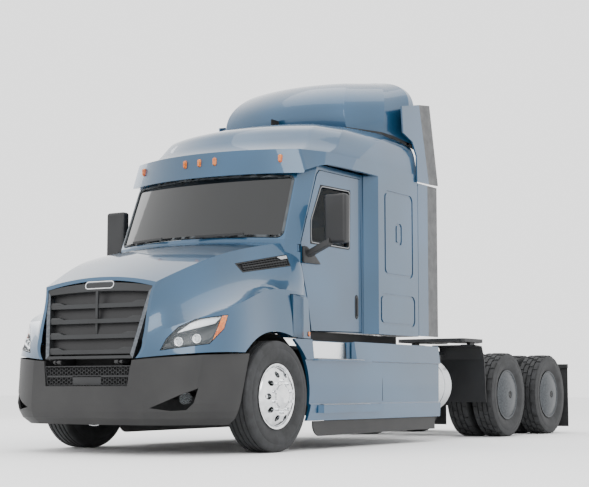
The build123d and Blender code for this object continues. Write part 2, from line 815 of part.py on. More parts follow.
# ---- roof fairing ----
fairing_levels = (
    (3140, 1850, (770, 1960), (1050, 2330), (1160, 2700), 2822),
    (3500, 1850, (770, 1960), (1050, 2330), (1160, 2700), 2822),
    (3640, 1880, (745, 2000), (1040, 2360), (1160, 2700), 2822),
    (3780, 2000, (690, 2120), (985, 2450), (1130, 2730), 2822),
    (3890, 2170, (600, 2280), (890, 2560), (1040, 2760), 2822),
    (3965, 2400, (470, 2490), (720, 2660), (880, 2780), 2822),
    (4000, 2640, (300, 2680), (520, 2750), (700, 2800), 2822),
)


def fairing_form(inset, back_shift, drop):
    with BuildPart() as form:
        loft([bowed_plan(level[0] - drop, level[1], level[2:5], level[5] + back_shift, inset, 15)
              for level in fairing_levels])
    return form.part


fairing_outer = fairing_form(0, 0, 0)
fairing_hollow = fairing_form(28, 40, 28)

with BuildPart() as roof_fairing:
    add(fairing_outer)
    add(fairing_hollow, mode=Mode.SUBTRACT)
    # foot of the fairing, just above the roof cap
    with BuildSketch(along(-1300)):
        Polygon((1700, 3374), (1860, 3374), (1990, 3360), (2330, 3338), (2500, 3316), (2700, 3262), (2900, 3220),
                (2900, 2900), (1700, 2900), align=None)
    extrude(amount=2600, mode=Mode.SUBTRACT)
save(roof_fairing.part, "roof_fairing")

# ---- cab extenders and their rubber edges ----
with BuildPart() as cab_extenders:
    for side in (-1, 1):
        with BuildSketch(along(side * 1172)):
            Polygon((2838, 1150), (2838, 2828), (3070, 2828), (3070, 1150), align=None)
        extrude(amount=side * 18)
        with BuildSketch(along(side * 1194)):
            Polygon((2790, 2836), (3069, 2840), (2844, 3700), (2440, 3618), (2470, 3330), (2680, 3262),
                    (2780, 3120), align=None)
        extrude(amount=side * 18)
save(cab_extenders.part, "cab_extenders")

with BuildPart() as extender_edges:
    for side in (-1, 1):
        with BuildSketch(along(side * 1174)):
            Polygon((3071, 1150), (3071, 2828), (3304, 2828), (3304, 1150), align=None)
        extrude(amount=side * 14)
        with BuildSketch(along(side * 1196)):
            Polygon((3070, 2840), (3296, 2850), (3100, 3734), (2845, 3700), align=None)
        extrude(amount=side * 14)
save(extender_edges.part, "extender_edges")

# ---- cab interior ----
with BuildPart() as dashboard:
    with BuildSketch(along(-930)):
        Polygon((520, 1500), (490, 1960), (640, 1990), (830, 1900), (850, 1700), (760, 1500), align=None)
    extrude(amount=1860)
    with BuildSketch(Plane(origin=(520, 800, 1800), x_dir=(1, 0, 0), z_dir=(0, 0.7, 0.6))):
        Circle(24)
    extrude(amount=150)
    with Locations(Plane(origin=(520, 910, 1900), x_dir=(1, 0, 0), z_dir=(0, 0.7, 0.6))):
        Torus(210, 15)
        Cylinder(50, 30)
        Box(400, 30, 12)
save(dashboard.part, "dashboard")

with BuildPart() as seats:
    for side in (-1, 1):
        with Locations((side * 520, 1420, 1320)):
            Box(380, 420, 240)
        with Locations((side * 520, 1400, 1500)):
            Box(500, 520, 130)
        with BuildSketch(along(side * 520 - 240)):
            Polygon((1600, 1560), (1760, 1560), (1800, 2260), (1700, 2260), align=None)
        extrude(amount=480)
save(seats.part, "seats")

with BuildPart() as bunk:
    with Locations((0, 2380, 1340)):
        Box(2080, 740, 270)
    with Locations((0, 2380, 1560)):
        Box(2080, 740, 160)
save(bunk.part, "bunk")

# ---- deck behind the cab ----
with BuildPart() as deck:
    with Locations((0, 3560, 1030)):
        Box(1240, 1180, 20)
    for side in (-1, 1):
        with Locations((side * 610, 3560, 1000)):
            Box(20, 1180, 60)
save(deck.part, "deck_plate")

# ---- quarter fenders ahead of the drive wheels ----
with BuildPart() as quarter_fenders:
    for side in (-1, 1):
        with BuildSketch(along(side * 640)):
            Polygon((4530, 420), (4540, 420), (4500, 930), (4430, 1080), (4240, 1092), (4240, 1080),
                    (4420, 1068), (4488, 926), align=None)
        extrude(amount=side * 560)
        with Locations((side * (rail_x + 147), 4380, 1000)):
            Box(294, 50, 50)
save(quarter_fenders.part, "quarter_fenders")

# ---- mud flaps on their hangers ----
with BuildPart() as mud_flaps:
    for side in (-1, 1):
        with Locations((side * 905, rail_end + 30, 468)):
            Box(600, 10, 776)
        with Locations((side * 790, rail_end + 20, 882)):
            Box(840, 40, 52)
save(mud_flaps.part, "mud_flaps")

# ---- small lamps: roof markers, tail lamps and fog lamps ----
marker_z = 2820
marker_places = ((-844, 585), (-182, 412), (0, 405), (182, 412), (844, 585))
with BuildPart() as small_lamps:
    for x, y in marker_places:
        with BuildSketch(across(y)) as marker_face:
            with Locations((x, marker_z)):
                SlotOverall(84, 36, rotation=90)
        extrude(amount=22, taper=25)
        extrude(marker_face.sketch, amount=-26)
    add(roof_cap.part, mode=Mode.SUBTRACT)
    for side in (-1, 1):
        with Locations((side * 235, rail_end + 20, 900)):
            Box(270, 40, 110)
        with Locations(Plane(origin=(side * (fog_x - 12), fog_y + 30, fog_z), x_dir=(side * 0.7, 0.71, 0),
                             z_dir=(side * 0.71, -0.7, 0))):
            Cylinder(52, 60)
save(small_lamps.part, "small_lamps")

# ---- fifth wheel ----
fifth_y = 5820
fifth_pivot_z = 1120
plate_top = 1220
kingpin_jaw_r = 25.5
with BuildPart() as fifth_base:
    for side in (-1, 1):
        with BuildSketch(along(side * 330 - 35)):
            Polygon((fifth_y - 300, rail_top), (fifth_y - 60, fifth_pivot_z + 30),
                    (fifth_y + 60, fifth_pivot_z + 30), (fifth_y + 300, rail_top), align=None)
        extrude(amount=70)
        with Locations((side * 360, fifth_y, fifth_pivot_z)):
            Cylinder(24, 130, rotation=(0, 90, 0))
    with Locations((0, fifth_y, rail_top + 8)):
        Box(840, 620, 16)
save(fifth_base.part, "fifth_wheel_base")

with BuildPart() as fifth_plate:
    with BuildSketch(Plane.XY.offset(plate_top - 45)):
        Polygon((-480, fifth_y - 380), (480, fifth_y - 380), (480, fifth_y + 200), (260, fifth_y + 520),
                (-260, fifth_y + 520), (-480, fifth_y + 200), align=None)
        fillet(vertices(), radius=60)
        with Locations((0, fifth_y)):
            Circle(kingpin_jaw_r, mode=Mode.SUBTRACT)
        Polygon((-kingpin_jaw_r, fifth_y), (kingpin_jaw_r, fifth_y), (kingpin_jaw_r, fifth_y + 60),
                (190, fifth_y + 540), (-190, fifth_y + 540), (-kingpin_jaw_r, fifth_y + 60),
                align=None, mode=Mode.SUBTRACT)
    extrude(amount=45)
    for side in (-1, 1):
        with Locations((side * 400, fifth_y, fifth_pivot_z + 10)):
            Box(50, 130, 110)
        with Locations((side * 400, fifth_y, fifth_pivot_z)):
            Cylinder(25, 60, rotation=(0, 90, 0), mode=Mode.SUBTRACT)
save(fifth_plate.part, "fifth_wheel_plate")

# ---- grille ----
grille_low = 842
grille_high = 1478
grille_face_low = -1233
grille_depth = 60
grille_tilt = (1233 - 1095) / (1473 - 839)


def grille_face(height):
    """Front of the leaning grille at a height."""
    return grille_face_low + grille_tilt * (height - grille_low)


def grille_prism(low, high, crown, low_half, high_half, forward, backward):
    """Leaning prism between two heights, with a bowed top edge."""
    with BuildPart() as prism:
        with BuildSketch(Plane(origin=(0, grille_face_low, grille_low), x_dir=(1, 0, 0),
                               z_dir=(0, -1, grille_tilt))):
            with BuildLine():
                Line((-low_half, low), (low_half, low))
                Line((low_half, low), (high_half, high))
                ThreePointArc((high_half, high), (0, crown), (-high_half, high))
                Line((-high_half, high), (-low_half, low))
            make_face()
        extrude(amount=-backward)
        if forward:
            extrude(prism.faces().sort_by(Axis.Y)[0], amount=forward)
    return prism.part


surround = grille_prism(0, 650, 700, 503, 622, 0, grille_depth)
surround_hole = grille_prism(36, 600, 622, 468, 572, 10, grille_depth + 10)
nose_cut = grille_prism(-60, 652, 702, 494, 624, 200, grille_depth + 6)

with BuildPart() as grille:
    add(surround)
    add(surround_hole, mode=Mode.SUBTRACT)
    # the foot is shallow, in front of the hinge pins
    with Locations((0, grille_face_low + 118, grille_low + 8)):
        Box(960, 200, 56, mode=Mode.SUBTRACT)
    for bar in range(4):
        bar_z = grille_low + 60 + 138 * bar
        bar_half = 474 + 104 * (bar_z - grille_low) / 600
        with Locations((0, grille_face(bar_z) + 32, bar_z)):
            Box(2 * bar_half, 50, 38)
    with Locations((0, grille_face(1170) + 42, 1170)):
        Box(26, 20, 560)
save(grille.part, "grille")

# ---- hood ----
# One row for each station from nose to cowl: place, crown height, then the
# shoulder, waist, fender crown and fender foot, each as half width and height.
hood_stations = (
    (-1245, 1500, (600, 1425), (582, 1215), (550, 1010), (530, 835)),
    (-1130, 1556, (632, 1492), (640, 1240), (735, 1080), (850, 860)),
    (-930, 1640, (680, 1582), (735, 1370), (985, 1190), (1090, 870)),
    (-700, 1735, (740, 1680), (815, 1480), (1115, 1275), (1184, 870)),
    (-300, 1880, (838, 1820), (915, 1610), (1138, 1410), (1192, 870)),
    (150, 1985, (925, 1920), (1000, 1710), (1140, 1500), (1192, 870)),
    (600, 2020, (990, 1970), (1085, 1760), (1118, 1540), (1124, 870)),
)
hood_shell = 30
lamp_x, lamp_y, lamp_z = 940, -930, 1060
# Corners of the headlamp on a plane facing its corner of the hood.
lamp_outline = ((-303, -156), (-248, -53), (-145, 51), (9, 121), (304, 165), (263, 38), (127, -98))
vent_outline = ((-234, 1724), (-181, 1640), (420, 1738), (420, 1852))


def hood_section(station, crown, shoulder, waist, fender, foot, inset, drop):
    shoulder, waist, fender = [(x - inset, z - inset) for x, z in (shoulder, waist, fender)]
    foot = (foot[0] - inset, foot[1] - drop)
    with BuildSketch(across(station)) as section:
        with BuildLine():
            ThreePointArc((-shoulder[0], shoulder[1]), (0, crown - inset), shoulder)
            for side in (-1, 1):
                ThreePointArc((side * shoulder[0], shoulder[1]), (side * waist[0], waist[1]),
                              (side * fender[0], fender[1]))
                bulge = ((fender[0] + foot[0]) / 2 + 12, (fender[1] + foot[1]) / 2)
                ThreePointArc((side * fender[0], fender[1]), (side * bulge[0], bulge[1]),
                              (side * foot[0], foot[1]))
            Line((-foot[0], foot[1]), foot)
        make_face()
    return section.sketch


def lamp_prism(shrink):
    """Both headlamp outlines carried through the hood, square to its corners."""
    with BuildPart() as prism:
        for side in (-1, 1):
            with BuildSketch(Plane(origin=(side * lamp_x, lamp_y, lamp_z), x_dir=(side * 0.75, 0.66, 0),
                                   z_dir=(side * 0.66, -0.75, 0))):
                Polygon(*[(along, up * side) for along, up in lamp_outline], align=None)
                if shrink:
                    offset(amount=-shrink)
            extrude(amount=260, both=True)
    return prism.part


with BuildPart() as hood_skin:
    loft([hood_section(*station, 0, 0) for station in hood_stations])
    loft([hood_section(-1246, *hood_stations[0][1:], hood_shell, 10)]
         + [hood_section(*station, hood_shell, 10) for station in hood_stations[1:-1]]
         + [hood_section(601, *hood_stations[-1][1:], hood_shell, 10)], mode=Mode.SUBTRACT)

lamp_holes = lamp_prism(0)
lamp_faces = lamp_prism(4)

with BuildPart() as hood:
    add(hood_skin.part)
    # clear of the cab front and of the cowl sides
    add(cab_clearance, mode=Mode.SUBTRACT)
    with BuildSketch(along(-1300)):
        Polygon((277, 700), (277, cowl_top + gap), (720, cowl_top + gap), (720, 700), align=None)
        # rear edge, clear of the doors as they swing
        Polygon((590, cowl_top), (590, 1900), (720, 1900), (720, cowl_top), align=None)
        # nose face, leaning back with the grille
        Polygon((-1400, 700), (-1238, 815), (-1238, 839), (-1238 + grille_tilt * 900, 1739),
                (-1400, 1739), align=None)
    extrude(amount=2600, mode=Mode.SUBTRACT)
    # wheel arches
    with BuildSketch(along(-1300)):
        with BuildLine():
            Line((-600, 700), (-535, 884))
            ThreePointArc((-535, 884), (-110, 1090), (330, 1040))
            Line((330, 1040), (400, 700))
            Line((400, 700), (-600, 700))
        make_face()
    extrude(amount=2600, mode=Mode.SUBTRACT)
    # lower edge, rising a little from the nose to the wheel arches
    with BuildSketch(across(-300)):
        Polygon((-1300, 900), (-1190, 898), (-1000, 882), (-505, 838), (505, 838), (1000, 882),
                (1190, 898), (1300, 900), (1300, 700), (-1300, 700), align=None)
    extrude(amount=1300, mode=Mode.SUBTRACT)
    add(nose_cut, mode=Mode.SUBTRACT)
    # openings for the headlamps and vents
    add(lamp_holes, mode=Mode.SUBTRACT)
    for side in (-1, 1):
        with BuildSketch(along(side * 820)):
            Polygon(*vent_outline, align=None)
        extrude(amount=side * 400, mode=Mode.SUBTRACT)
save(hood.part, "hood")

# ---- headlamps and vents fill their openings flush with the hood ----
with BuildPart() as headlamps:
    add(hood_skin.part)
    add(lamp_faces, mode=Mode.INTERSECT)
save(headlamps.part, "headlamps")

with BuildPart() as hood_vents:
    add(hood_skin.part)
    with BuildSketch(along(-1300)):
        Polygon(*vent_outline, align=None)
        offset(amount=-3)
    extrude(amount=2600, mode=Mode.INTERSECT)
save(hood_vents.part, "hood_vents")

# ---- hood arms: up behind the grille from the hinge pins ----
with BuildPart() as hood_arms:
    for side in (-1, 1):
        with BuildSketch(along(side * arm_place - 12)):
            Polygon((hood_pivot_y, hood_pivot_z - 16), (hood_pivot_y, hood_pivot_z + 16),
                    (-1200, 834), (-1158, 868), (grille_face(1430) + 66, 1430),
                    (grille_face(1430) + 96, 1430), (-1126, 868), (-1150, hood_pivot_z - 16),
                    align=None)
            with Locations((hood_pivot_y, hood_pivot_z)):
                Circle(16)
                Circle(hood_pin_r + 0.5, mode=Mode.SUBTRACT)
        extrude(amount=24)
    with Locations((0, grille_face(1400) + 82, 1400)):
        Box(2 * arm_place, 28, 40)
save(hood_arms.part, "hood_arms")

# ---- wipers along the foot of the windscreen ----
with BuildPart() as wipers:
    for start, end in (((-760, 318), (-300, 200)), ((120, 186), (640, 262))):
        run = (end[0] - start[0], end[1] - start[1], 6)
        with BuildSketch(Plane(origin=(*start, 2052), x_dir=(0, 0, 1), z_dir=run)):
            Rectangle(22, 12)
        extrude(amount=sqrt(run[0] ** 2 + run[1] ** 2))
save(wipers.part, "wipers")

make_tyre("tyre_front_left", 0, (track_half,))
make_tyre("tyre_front_right", 0, (-track_half,))
make_front_wheel("wheel_front_left", 1)
make_front_wheel("wheel_front_right", -1)
make_knuckle("knuckle_left", 1)
make_knuckle("knuckle_right", -1)
for number, axle_y in enumerate(drive_axle_places, 1):
    for side, word in ((1, "left"), (-1, "right")):
        make_tyre(f"tyres_axle{number}_{word}", axle_y,
                  (side * track_half, side * (track_half - dual_gap)))
        make_rear_wheels(f"wheels_axle{number}_{word}", side, axle_y)
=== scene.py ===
import math
import bmesh
import bpy
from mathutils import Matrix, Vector


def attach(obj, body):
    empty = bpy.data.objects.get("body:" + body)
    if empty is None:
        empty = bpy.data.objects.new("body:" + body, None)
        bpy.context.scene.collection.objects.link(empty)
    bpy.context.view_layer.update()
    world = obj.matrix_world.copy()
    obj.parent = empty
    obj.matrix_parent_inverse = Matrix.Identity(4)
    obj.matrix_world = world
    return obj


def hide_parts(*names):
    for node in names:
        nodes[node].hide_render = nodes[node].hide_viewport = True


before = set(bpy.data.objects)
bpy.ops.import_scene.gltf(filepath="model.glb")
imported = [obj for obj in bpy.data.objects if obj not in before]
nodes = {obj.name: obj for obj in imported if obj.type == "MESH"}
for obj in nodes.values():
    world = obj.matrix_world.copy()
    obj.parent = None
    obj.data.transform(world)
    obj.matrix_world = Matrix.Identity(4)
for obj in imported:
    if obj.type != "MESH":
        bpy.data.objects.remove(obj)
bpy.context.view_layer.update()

# everything is measured from the front axle, in millimetres, apart from the axle's own place, in metres
frontAxle = -2.930
driveAxles = ((1, 5160), (2, 6480))  # number, and how far behind the front axle
wheelHeight = 508  # of the wheel centres
leftAndRight = ((1, "left"), (-1, "right"))


def linear(hexColour):
    # sRGB hex to the linear values that shaders use
    values = [int(hexColour[i:i + 2], 16) / 255 for i in (1, 3, 5)]
    return [v / 12.92 if v < 0.04045 else ((v + 0.055) / 1.055) ** 2.4 for v in values] + [1]


def addNode(tree, kind, links={}, values={}, **settings):
    # links: socket to output, values: socket to constant, settings: properties of the node
    node = tree.nodes.new("ShaderNode" + kind)
    for name, value in settings.items():
        setattr(node, name, value)
    for name, value in values.items():
        node.inputs[name].default_value = value
    for name, output in links.items():
        tree.links.new(output, node.inputs[name])
    return node


def startMaterial(name, **constants):
    material = bpy.data.materials.new(name)
    material.use_nodes = True
    tree = material.node_tree
    shader = tree.nodes["Principled BSDF"]
    for socket, value in constants.items():
        shader.inputs[socket.replace("_", " ")].default_value = value
    where = tree.nodes.new("ShaderNodeTexCoord").outputs["Object"]
    return material, tree, shader, where


def variedColour(tree, shader, factor, dark, light, low=0.35, high=0.65):
    # two close tones of one finish, mixed by a pattern
    ramp = addNode(tree, "ValToRGB", {"Fac": factor})
    ramp.color_ramp.elements[0].position = low
    ramp.color_ramp.elements[1].position = high
    ramp.color_ramp.elements[0].color = linear(dark)
    ramp.color_ramp.elements[1].color = linear(light)
    tree.links.new(ramp.outputs["Color"], shader.inputs["Base Color"])


def relief(tree, shader, height, distance, strength=1.0):
    bump = addNode(tree, "Bump", {"Height": height}, {"Distance": distance, "Strength": strength})
    tree.links.new(bump.outputs["Normal"], shader.inputs["Normal"])
    return bump


def variedRoughness(tree, shader, factor, low, high):
    span = addNode(tree, "MapRange", {"Value": factor}, {"To Min": low, "To Max": high})
    tree.links.new(span.outputs["Result"], shader.inputs["Roughness"])


def noiseOf(tree, where, size, detail=2.0, roughness=0.5):
    # size is that of one lump of the pattern, in metres
    pattern = {"Scale": 1 / size, "Detail": detail, "Roughness": roughness}
    return addNode(tree, "TexNoise", {"Vector": where}, pattern).outputs["Fac"]


def bandsOf(tree, where, spacing, direction):
    # parallel bands this far apart, in metres
    return addNode(tree, "TexWave", {"Vector": where}, {"Scale": math.pi / 10 / spacing},
                   bands_direction=direction).outputs["Fac"]


# finishes, each named for the real material and how it was made; names with painted shade mark colour that
# stands in for shade
def basecoatClearcoat():
    # metallic steel-blue basecoat under clear lacquer: fine flake sparkle, soft tone drift, wet gloss
    material, tree, shader, where = startMaterial("basecoat_clearcoat", Metallic=0.42, Roughness=0.34,
                                                  Coat_Weight=0.9, Coat_Roughness=0.035, Coat_IOR=1.5)
    drift = noiseOf(tree, where, 0.9, 1.0)
    variedColour(tree, shader, drift, paint["dark"], paint["light"])
    # flakes are 0.05 mm, drawn at 1.5 mm so that they show
    flake = addNode(tree, "TexVoronoi", {"Vector": where}, {"Scale": 1 / 0.0015}, feature="F1")
    variedRoughness(tree, shader, flake.outputs["Distance"], 0.30, 0.40)
    # orange peel of the lacquer, 9 mm across
    relief(tree, shader, noiseOf(tree, where, 0.009, 1.0), 0.00002)
    return material


def mouldedPolypropylene(name, dark, light, rough, grain=0.0016, depth=0.00012):
    # mould-textured polypropylene: dull dark skin with a fine pebble grain that breaks up highlights
    material, tree, shader, where = startMaterial(name, Roughness=rough, IOR=1.49, Specular_IOR_Level=0.45)
    variedColour(tree, shader, noiseOf(tree, where, 0.35, 3.0), dark, light)
    pebbles = addNode(tree, "TexVoronoi", {"Vector": where}, {"Scale": 1 / grain}, feature="SMOOTH_F1")
    relief(tree, shader, pebbles.outputs["Distance"], depth)
    return material


def powderCoatedSteel(name, dark, light, rough=0.42):
    # powder-coated steel: satin black with slight orange peel and dust in broad patches
    material, tree, shader, where = startMaterial(name, Roughness=rough, IOR=1.5)
    variedColour(tree, shader, noiseOf(tree, where, 0.22, 4.0), dark, light)
    relief(tree, shader, noiseOf(tree, where, 0.004, 1.0), 0.00008)
    variedRoughness(tree, shader, noiseOf(tree, where, 0.12, 3.0), rough - 0.08, rough + 0.12)
    return material


def polishedAluminium():
    # forged aluminium, lathe-polished: mirror-bright, with a faint unevenness of the polish
    material, tree, shader, where = startMaterial("polished_forged_aluminium", Metallic=1.0, Roughness=0.16)
    variedColour(tree, shader, noiseOf(tree, where, 0.06, 2.0), "#d4d6d8", "#f0f1f2")
    variedRoughness(tree, shader, noiseOf(tree, where, 0.02, 4.0), 0.10, 0.22)
    relief(tree, shader, noiseOf(tree, where, 0.0012, 2.0), 0.00001)
    return material


def brushedAluminium(name="brushed_aluminium", dark="#a9acb0", light="#c9ccd0", rough=0.34,
                     stretch=(1, 40, 1)):
    # rolled and brushed aluminium sheet: satin grey streaks along the roll
    material, tree, shader, where = startMaterial(name, Metallic=1.0, Roughness=rough)
    squeezed = addNode(tree, "Mapping", {"Vector": where}, {"Scale": stretch})
    streaks = noiseOf(tree, squeezed.outputs["Vector"], 0.02, 3.0)
    variedColour(tree, shader, streaks, dark, light)
    variedRoughness(tree, shader, streaks, rough - 0.08, rough + 0.1)
    return material


def vulcanisedRubber(name="vulcanised_tyre_rubber", dark="#1d1e1f", light="#2b2c2e", rough=0.72):
    # carbon-black tyre rubber: dull charcoal, dustier in broad patches, with a faint skin grain
    material, tree, shader, where = startMaterial(name, Roughness=rough, IOR=1.52, Specular_IOR_Level=0.4)
    variedColour(tree, shader, noiseOf(tree, where, 0.09, 5.0, 0.6), dark, light)
    relief(tree, shader, noiseOf(tree, where, 0.0025, 3.0), 0.00015)
    return material


def castIron(name, dark, light, rough=0.6):
    # sand-cast iron under chassis paint: rough dark skin with soft lumps
    material, tree, shader, where = startMaterial(name, Metallic=0.35, Roughness=rough)
    variedColour(tree, shader, noiseOf(tree, where, 0.05, 4.0), dark, light)
    relief(tree, shader, noiseOf(tree, where, 0.003, 3.0), 0.0004)
    return material


def laminatedGlassPaintedShade():
    # laminated windscreen, coloured almost black as painted shade of the dim cab behind it: sharp
    # reflections, faint wiper haze
    material, tree, shader, where = startMaterial("laminated_glass_painted_shade", IOR=1.52,
                                                  Transmission_Weight=0.1, Coat_Weight=0.1,
                                                  Coat_Roughness=0.05)
    variedColour(tree, shader, noiseOf(tree, where, 0.6, 1.0), glass["dark"], glass["light"])
    variedRoughness(tree, shader, noiseOf(tree, where, 0.15, 3.0), 0.02, 0.06)
    return material


def clearToughenedGlass():
    # toughened door glass: nearly clear with a grey cast and clean reflections
    material, tree, shader, where = startMaterial("toughened_door_glass", Roughness=0.01, IOR=1.1,
                                                  Transmission_Weight=1.0)
    variedColour(tree, shader, noiseOf(tree, where, 0.5, 1.0), "#c9d0d2", "#d6dbdc")
    return material


def clearPolycarbonate(name="hard_coated_polycarbonate", dark="#8f989d", light="#a9b2b7", cover=0.07,
                       rough=0.04):
    # hard-coated polycarbonate lens: water-clear, with a thin bright surface reflection
    material, tree, shader, where = startMaterial(name, Roughness=rough, Alpha=cover,
                                                  Coat_Weight=0.6, Coat_Roughness=0.02)
    variedColour(tree, shader, noiseOf(tree, where, 0.2, 1.0), dark, light)
    return material


def colouredAcrylic(name, dark, light):
    # moulded acrylic lens: saturated colour with soft optic ribs 24 mm apart
    material, tree, shader, where = startMaterial(name, Roughness=0.12, IOR=1.49, Transmission_Weight=0.3,
                                                  Coat_Weight=0.5)
    variedColour(tree, shader, noiseOf(tree, where, 0.03, 2.0), dark, light)
    relief(tree, shader, bandsOf(tree, where, 0.0237, "X"), 0.0004)
    return material


def chromePlate():
    # bright chrome on steel: mirror finish with the faintest waviness
    material, tree, shader, where = startMaterial("chrome_plated_steel", Metallic=1.0, Roughness=0.06)
    variedColour(tree, shader, noiseOf(tree, where, 0.05, 1.0), "#dfe2e5", "#f3f5f6")
    relief(tree, shader, noiseOf(tree, where, 0.02, 1.0), 0.00003)
    return material


def wovenSeatCloth():
    # flat-woven polyester seat cloth: 3 mm weave in two close greys, soft sheen
    material, tree, shader, where = startMaterial("woven_polyester_cloth", Roughness=0.9, Sheen_Weight=0.3)
    across = bandsOf(tree, where, 0.00296, "X")
    along = bandsOf(tree, where, 0.00296, "Z")
    weave = addNode(tree, "Math", {0: across, 1: along}, operation="MULTIPLY")
    variedColour(tree, shader, weave.outputs[0], "#3a3d42", "#585c63")
    relief(tree, shader, weave.outputs[0], 0.0005)
    return material


paint = {"dark": "#143e5a", "light": "#1a4868"}
# the windscreen's near-black tones are painted shade of the dim cab seen through the glass
glass = {"dark": "#0d0f10", "light": "#111416"}

finishes = {
    "paint": basecoatClearcoat(),
    "bumper": mouldedPolypropylene("moulded_bumper_polypropylene", "#1d1d1e", "#252525", 0.55),
    "grille": mouldedPolypropylene("satin_painted_abs", "#1a1b1d", "#202224", 0.5, 0.004, 0.00004),
    "darkPlastic": mouldedPolypropylene("moulded_dark_abs", "#161719", "#1e1f21", 0.5),
    "interior": mouldedPolypropylene("soft_touch_dash_skin", "#2a2c2f", "#34363a", 0.75, 0.0025, 0.0003),
    "chassis": powderCoatedSteel("powder_coated_frame_steel", "#0f1011", "#18181a"),
    "darkMetal": powderCoatedSteel("greased_coupler_steel", "#1b1c1e", "#2c2d30", 0.5),
    "cast": castIron("painted_cast_iron", "#1c1d1f", "#2b2c2e"),
    "engine": castIron("painted_engine_block", "#3a3d40", "#4c4f53", 0.65),
    "radiator": brushedAluminium("finned_radiator_aluminium", "#5b5e61", "#7b7e82", 0.5, (60, 1, 1)),
    "polished": polishedAluminium(),
    "satin": brushedAluminium(),
    "tank": brushedAluminium("rolled_tank_aluminium", "#b9bcbf", "#d9dbdd", 0.22, (1, 30, 30)),
    "rubber": vulcanisedRubber("extruded_black_rubber", "#18191a", "#242526", 0.65),
    "edgeRubber": vulcanisedRubber("grey_extender_rubber", "#48494a", "#5a5b5c", 0.6),
    "tyre": vulcanisedRubber(),
    "windscreen": laminatedGlassPaintedShade(),
    "doorGlass": clearToughenedGlass(),
    "lens": clearPolycarbonate(),
    "amber": colouredAcrylic("amber_acrylic", "#c9571a", "#e58a3c"),
    "red": colouredAcrylic("red_acrylic", "#7a1010", "#a81a18"),
    "chrome": chromePlate(),
    "pillar": brushedAluminium("satin_silver_paint", "#53575c", "#6a6e73", 0.4, (1, 1, 1)),
    # black liner finish: real liners and dark joints, and also dark sheets and strips that are painted shade
    "blackVoid": mouldedPolypropylene("black_liner_and_painted_shade", "#0c0c0d", "#151516", 0.8),
    "panelBlack": mouldedPolypropylene("satin_black_abs_panel", "#111113", "#171719", 0.45, 0.005, 0.00006),
    "bowlBlack": mouldedPolypropylene("metallised_bezel_abs", "#1d1f22", "#2a2d31", 0.3, 0.006, 0.00003),
    "recess": brushedAluminium("polished_recess_plate", "#dfe2e4", "#f4f6f7", 0.24, (1, 6, 1)),
    "badgeGrey": mouldedPolypropylene("badge_backing_abs", "#3a3c40", "#4a4d52", 0.3, 0.006, 0.00003),
    "sealGrey": vulcanisedRubber("extruded_grey_seal", "#33373a", "#404549", 0.62),
    "frosted": mouldedPolypropylene("frosted_light_guide", "#dfe6ea", "#f6f9fa", 0.35, 0.008, 0.00003),
    "lensGlass": clearPolycarbonate("pressed_optical_glass", "#aeb8bf", "#d3dade", 0.45, 0.02),
    "cover": brushedAluminium("spun_axle_cover", "#3e4144", "#535659", 0.4, (1, 1, 1)),
    "cloth": wovenSeatCloth(),
}
print("finishes made:", len(finishes))

nodeFinish = {
    "paint": ["hood", "cab_shell", "door_left", "door_right", "sleeper_shell", "roof_cap", "roof_fairing",
              "cab_extenders", "side_fairings"],
    "bumper": ["bumper", "fairing_skirts"],
    "grille": ["grille"],
    "darkPlastic": ["bumper_grille", "door_fittings_left", "door_fittings_right", "hood_vents", "wipers",
                    "quarter_fenders", "step_boxes"],
    "interior": ["dashboard"],
    # hood_arms take this black frame finish, not the hood's blue, so that they show dark behind the grille
    "chassis": ["frame_rails", "crossmembers", "hood_arms", "suspension", "deck_plate", "tie_rod"],
    "darkMetal": ["fifth_wheel_base", "fifth_wheel_plate"],
    "cast": ["front_axle", "drive_axles", "knuckle_left", "knuckle_right"],
    "engine": ["engine_block"],
    "radiator": ["radiator"],
    "polished": ["wheel_front_left", "wheel_front_right"],
    "cover": ["wheels_axle1_left", "wheels_axle1_right", "wheels_axle2_left", "wheels_axle2_right"],
    "tank": ["fuel_tanks"],
    "rubber": ["mud_flaps"],
    "edgeRubber": ["extender_edges"],
    "tyre": ["tyre_front_left", "tyre_front_right", "tyres_axle1_left", "tyres_axle1_right",
             "tyres_axle2_left", "tyres_axle2_right"],
    "windscreen": ["windscreen"],
    "doorGlass": ["door_window_left", "door_window_right"],
    "lens": ["headlamps"],
    "amber": ["small_lamps"],
    "cloth": ["seats", "bunk"],
}
for finish, names in nodeFinish.items():
    for name in names:
        nodes[name].data.materials.clear()
        nodes[name].data.materials.append(finishes[finish])


def finishFaces(name, extra, whichFinish):
    # the first finish is the node's own; whichFinish gives each face's number by its place
    node = nodes[name]
    for finish in extra:
        node.data.materials.append(finishes[finish])
    for face in node.data.polygons:
        face.material_index = whichFinish(face.center, face.normal)


def lampFinish(centre, normal):
    # roof markers are amber, tail lamps red and the fog lamps in front clear
    if centre.z > 2:
        return 0
    return 1 if centre.y > 0 else 2


def grilleFinish(centre, normal):
    # the upright sides of the surround, outside this leaning line, are brighter than its bars and top
    line = 0.47 + 0.104 * (centre.z - 0.842) / 0.6
    return int(abs(centre.x) > line and 0.93 < centre.z < 1.452 and normal.y < 0.5)


finishFaces("small_lamps", ("red", "lens"), lampFinish)
finishFaces("grille", ("pillar",), grilleFinish)
print("CAD nodes finished:", sum(len(names) for names in nodeFinish.values()), "of", len(nodes))


# modelling by hand: small helpers round the mesh operators
def place(x, y, z):
    # measured from the front axle, in millimetres
    return Vector((x / 1000, y / 1000 + frontAxle, z / 1000))


def makeActive(piece):
    if bpy.context.object and bpy.context.object.mode == "EDIT":
        bpy.ops.object.mode_set(mode="OBJECT")
    bpy.ops.object.select_all(action="DESELECT")
    piece.select_set(True)
    bpy.context.view_layer.objects.active = piece


def startEditing(piece):
    makeActive(piece)
    bpy.ops.object.mode_set(mode="EDIT")


def leaveEditing():
    bpy.ops.object.mode_set(mode="OBJECT")


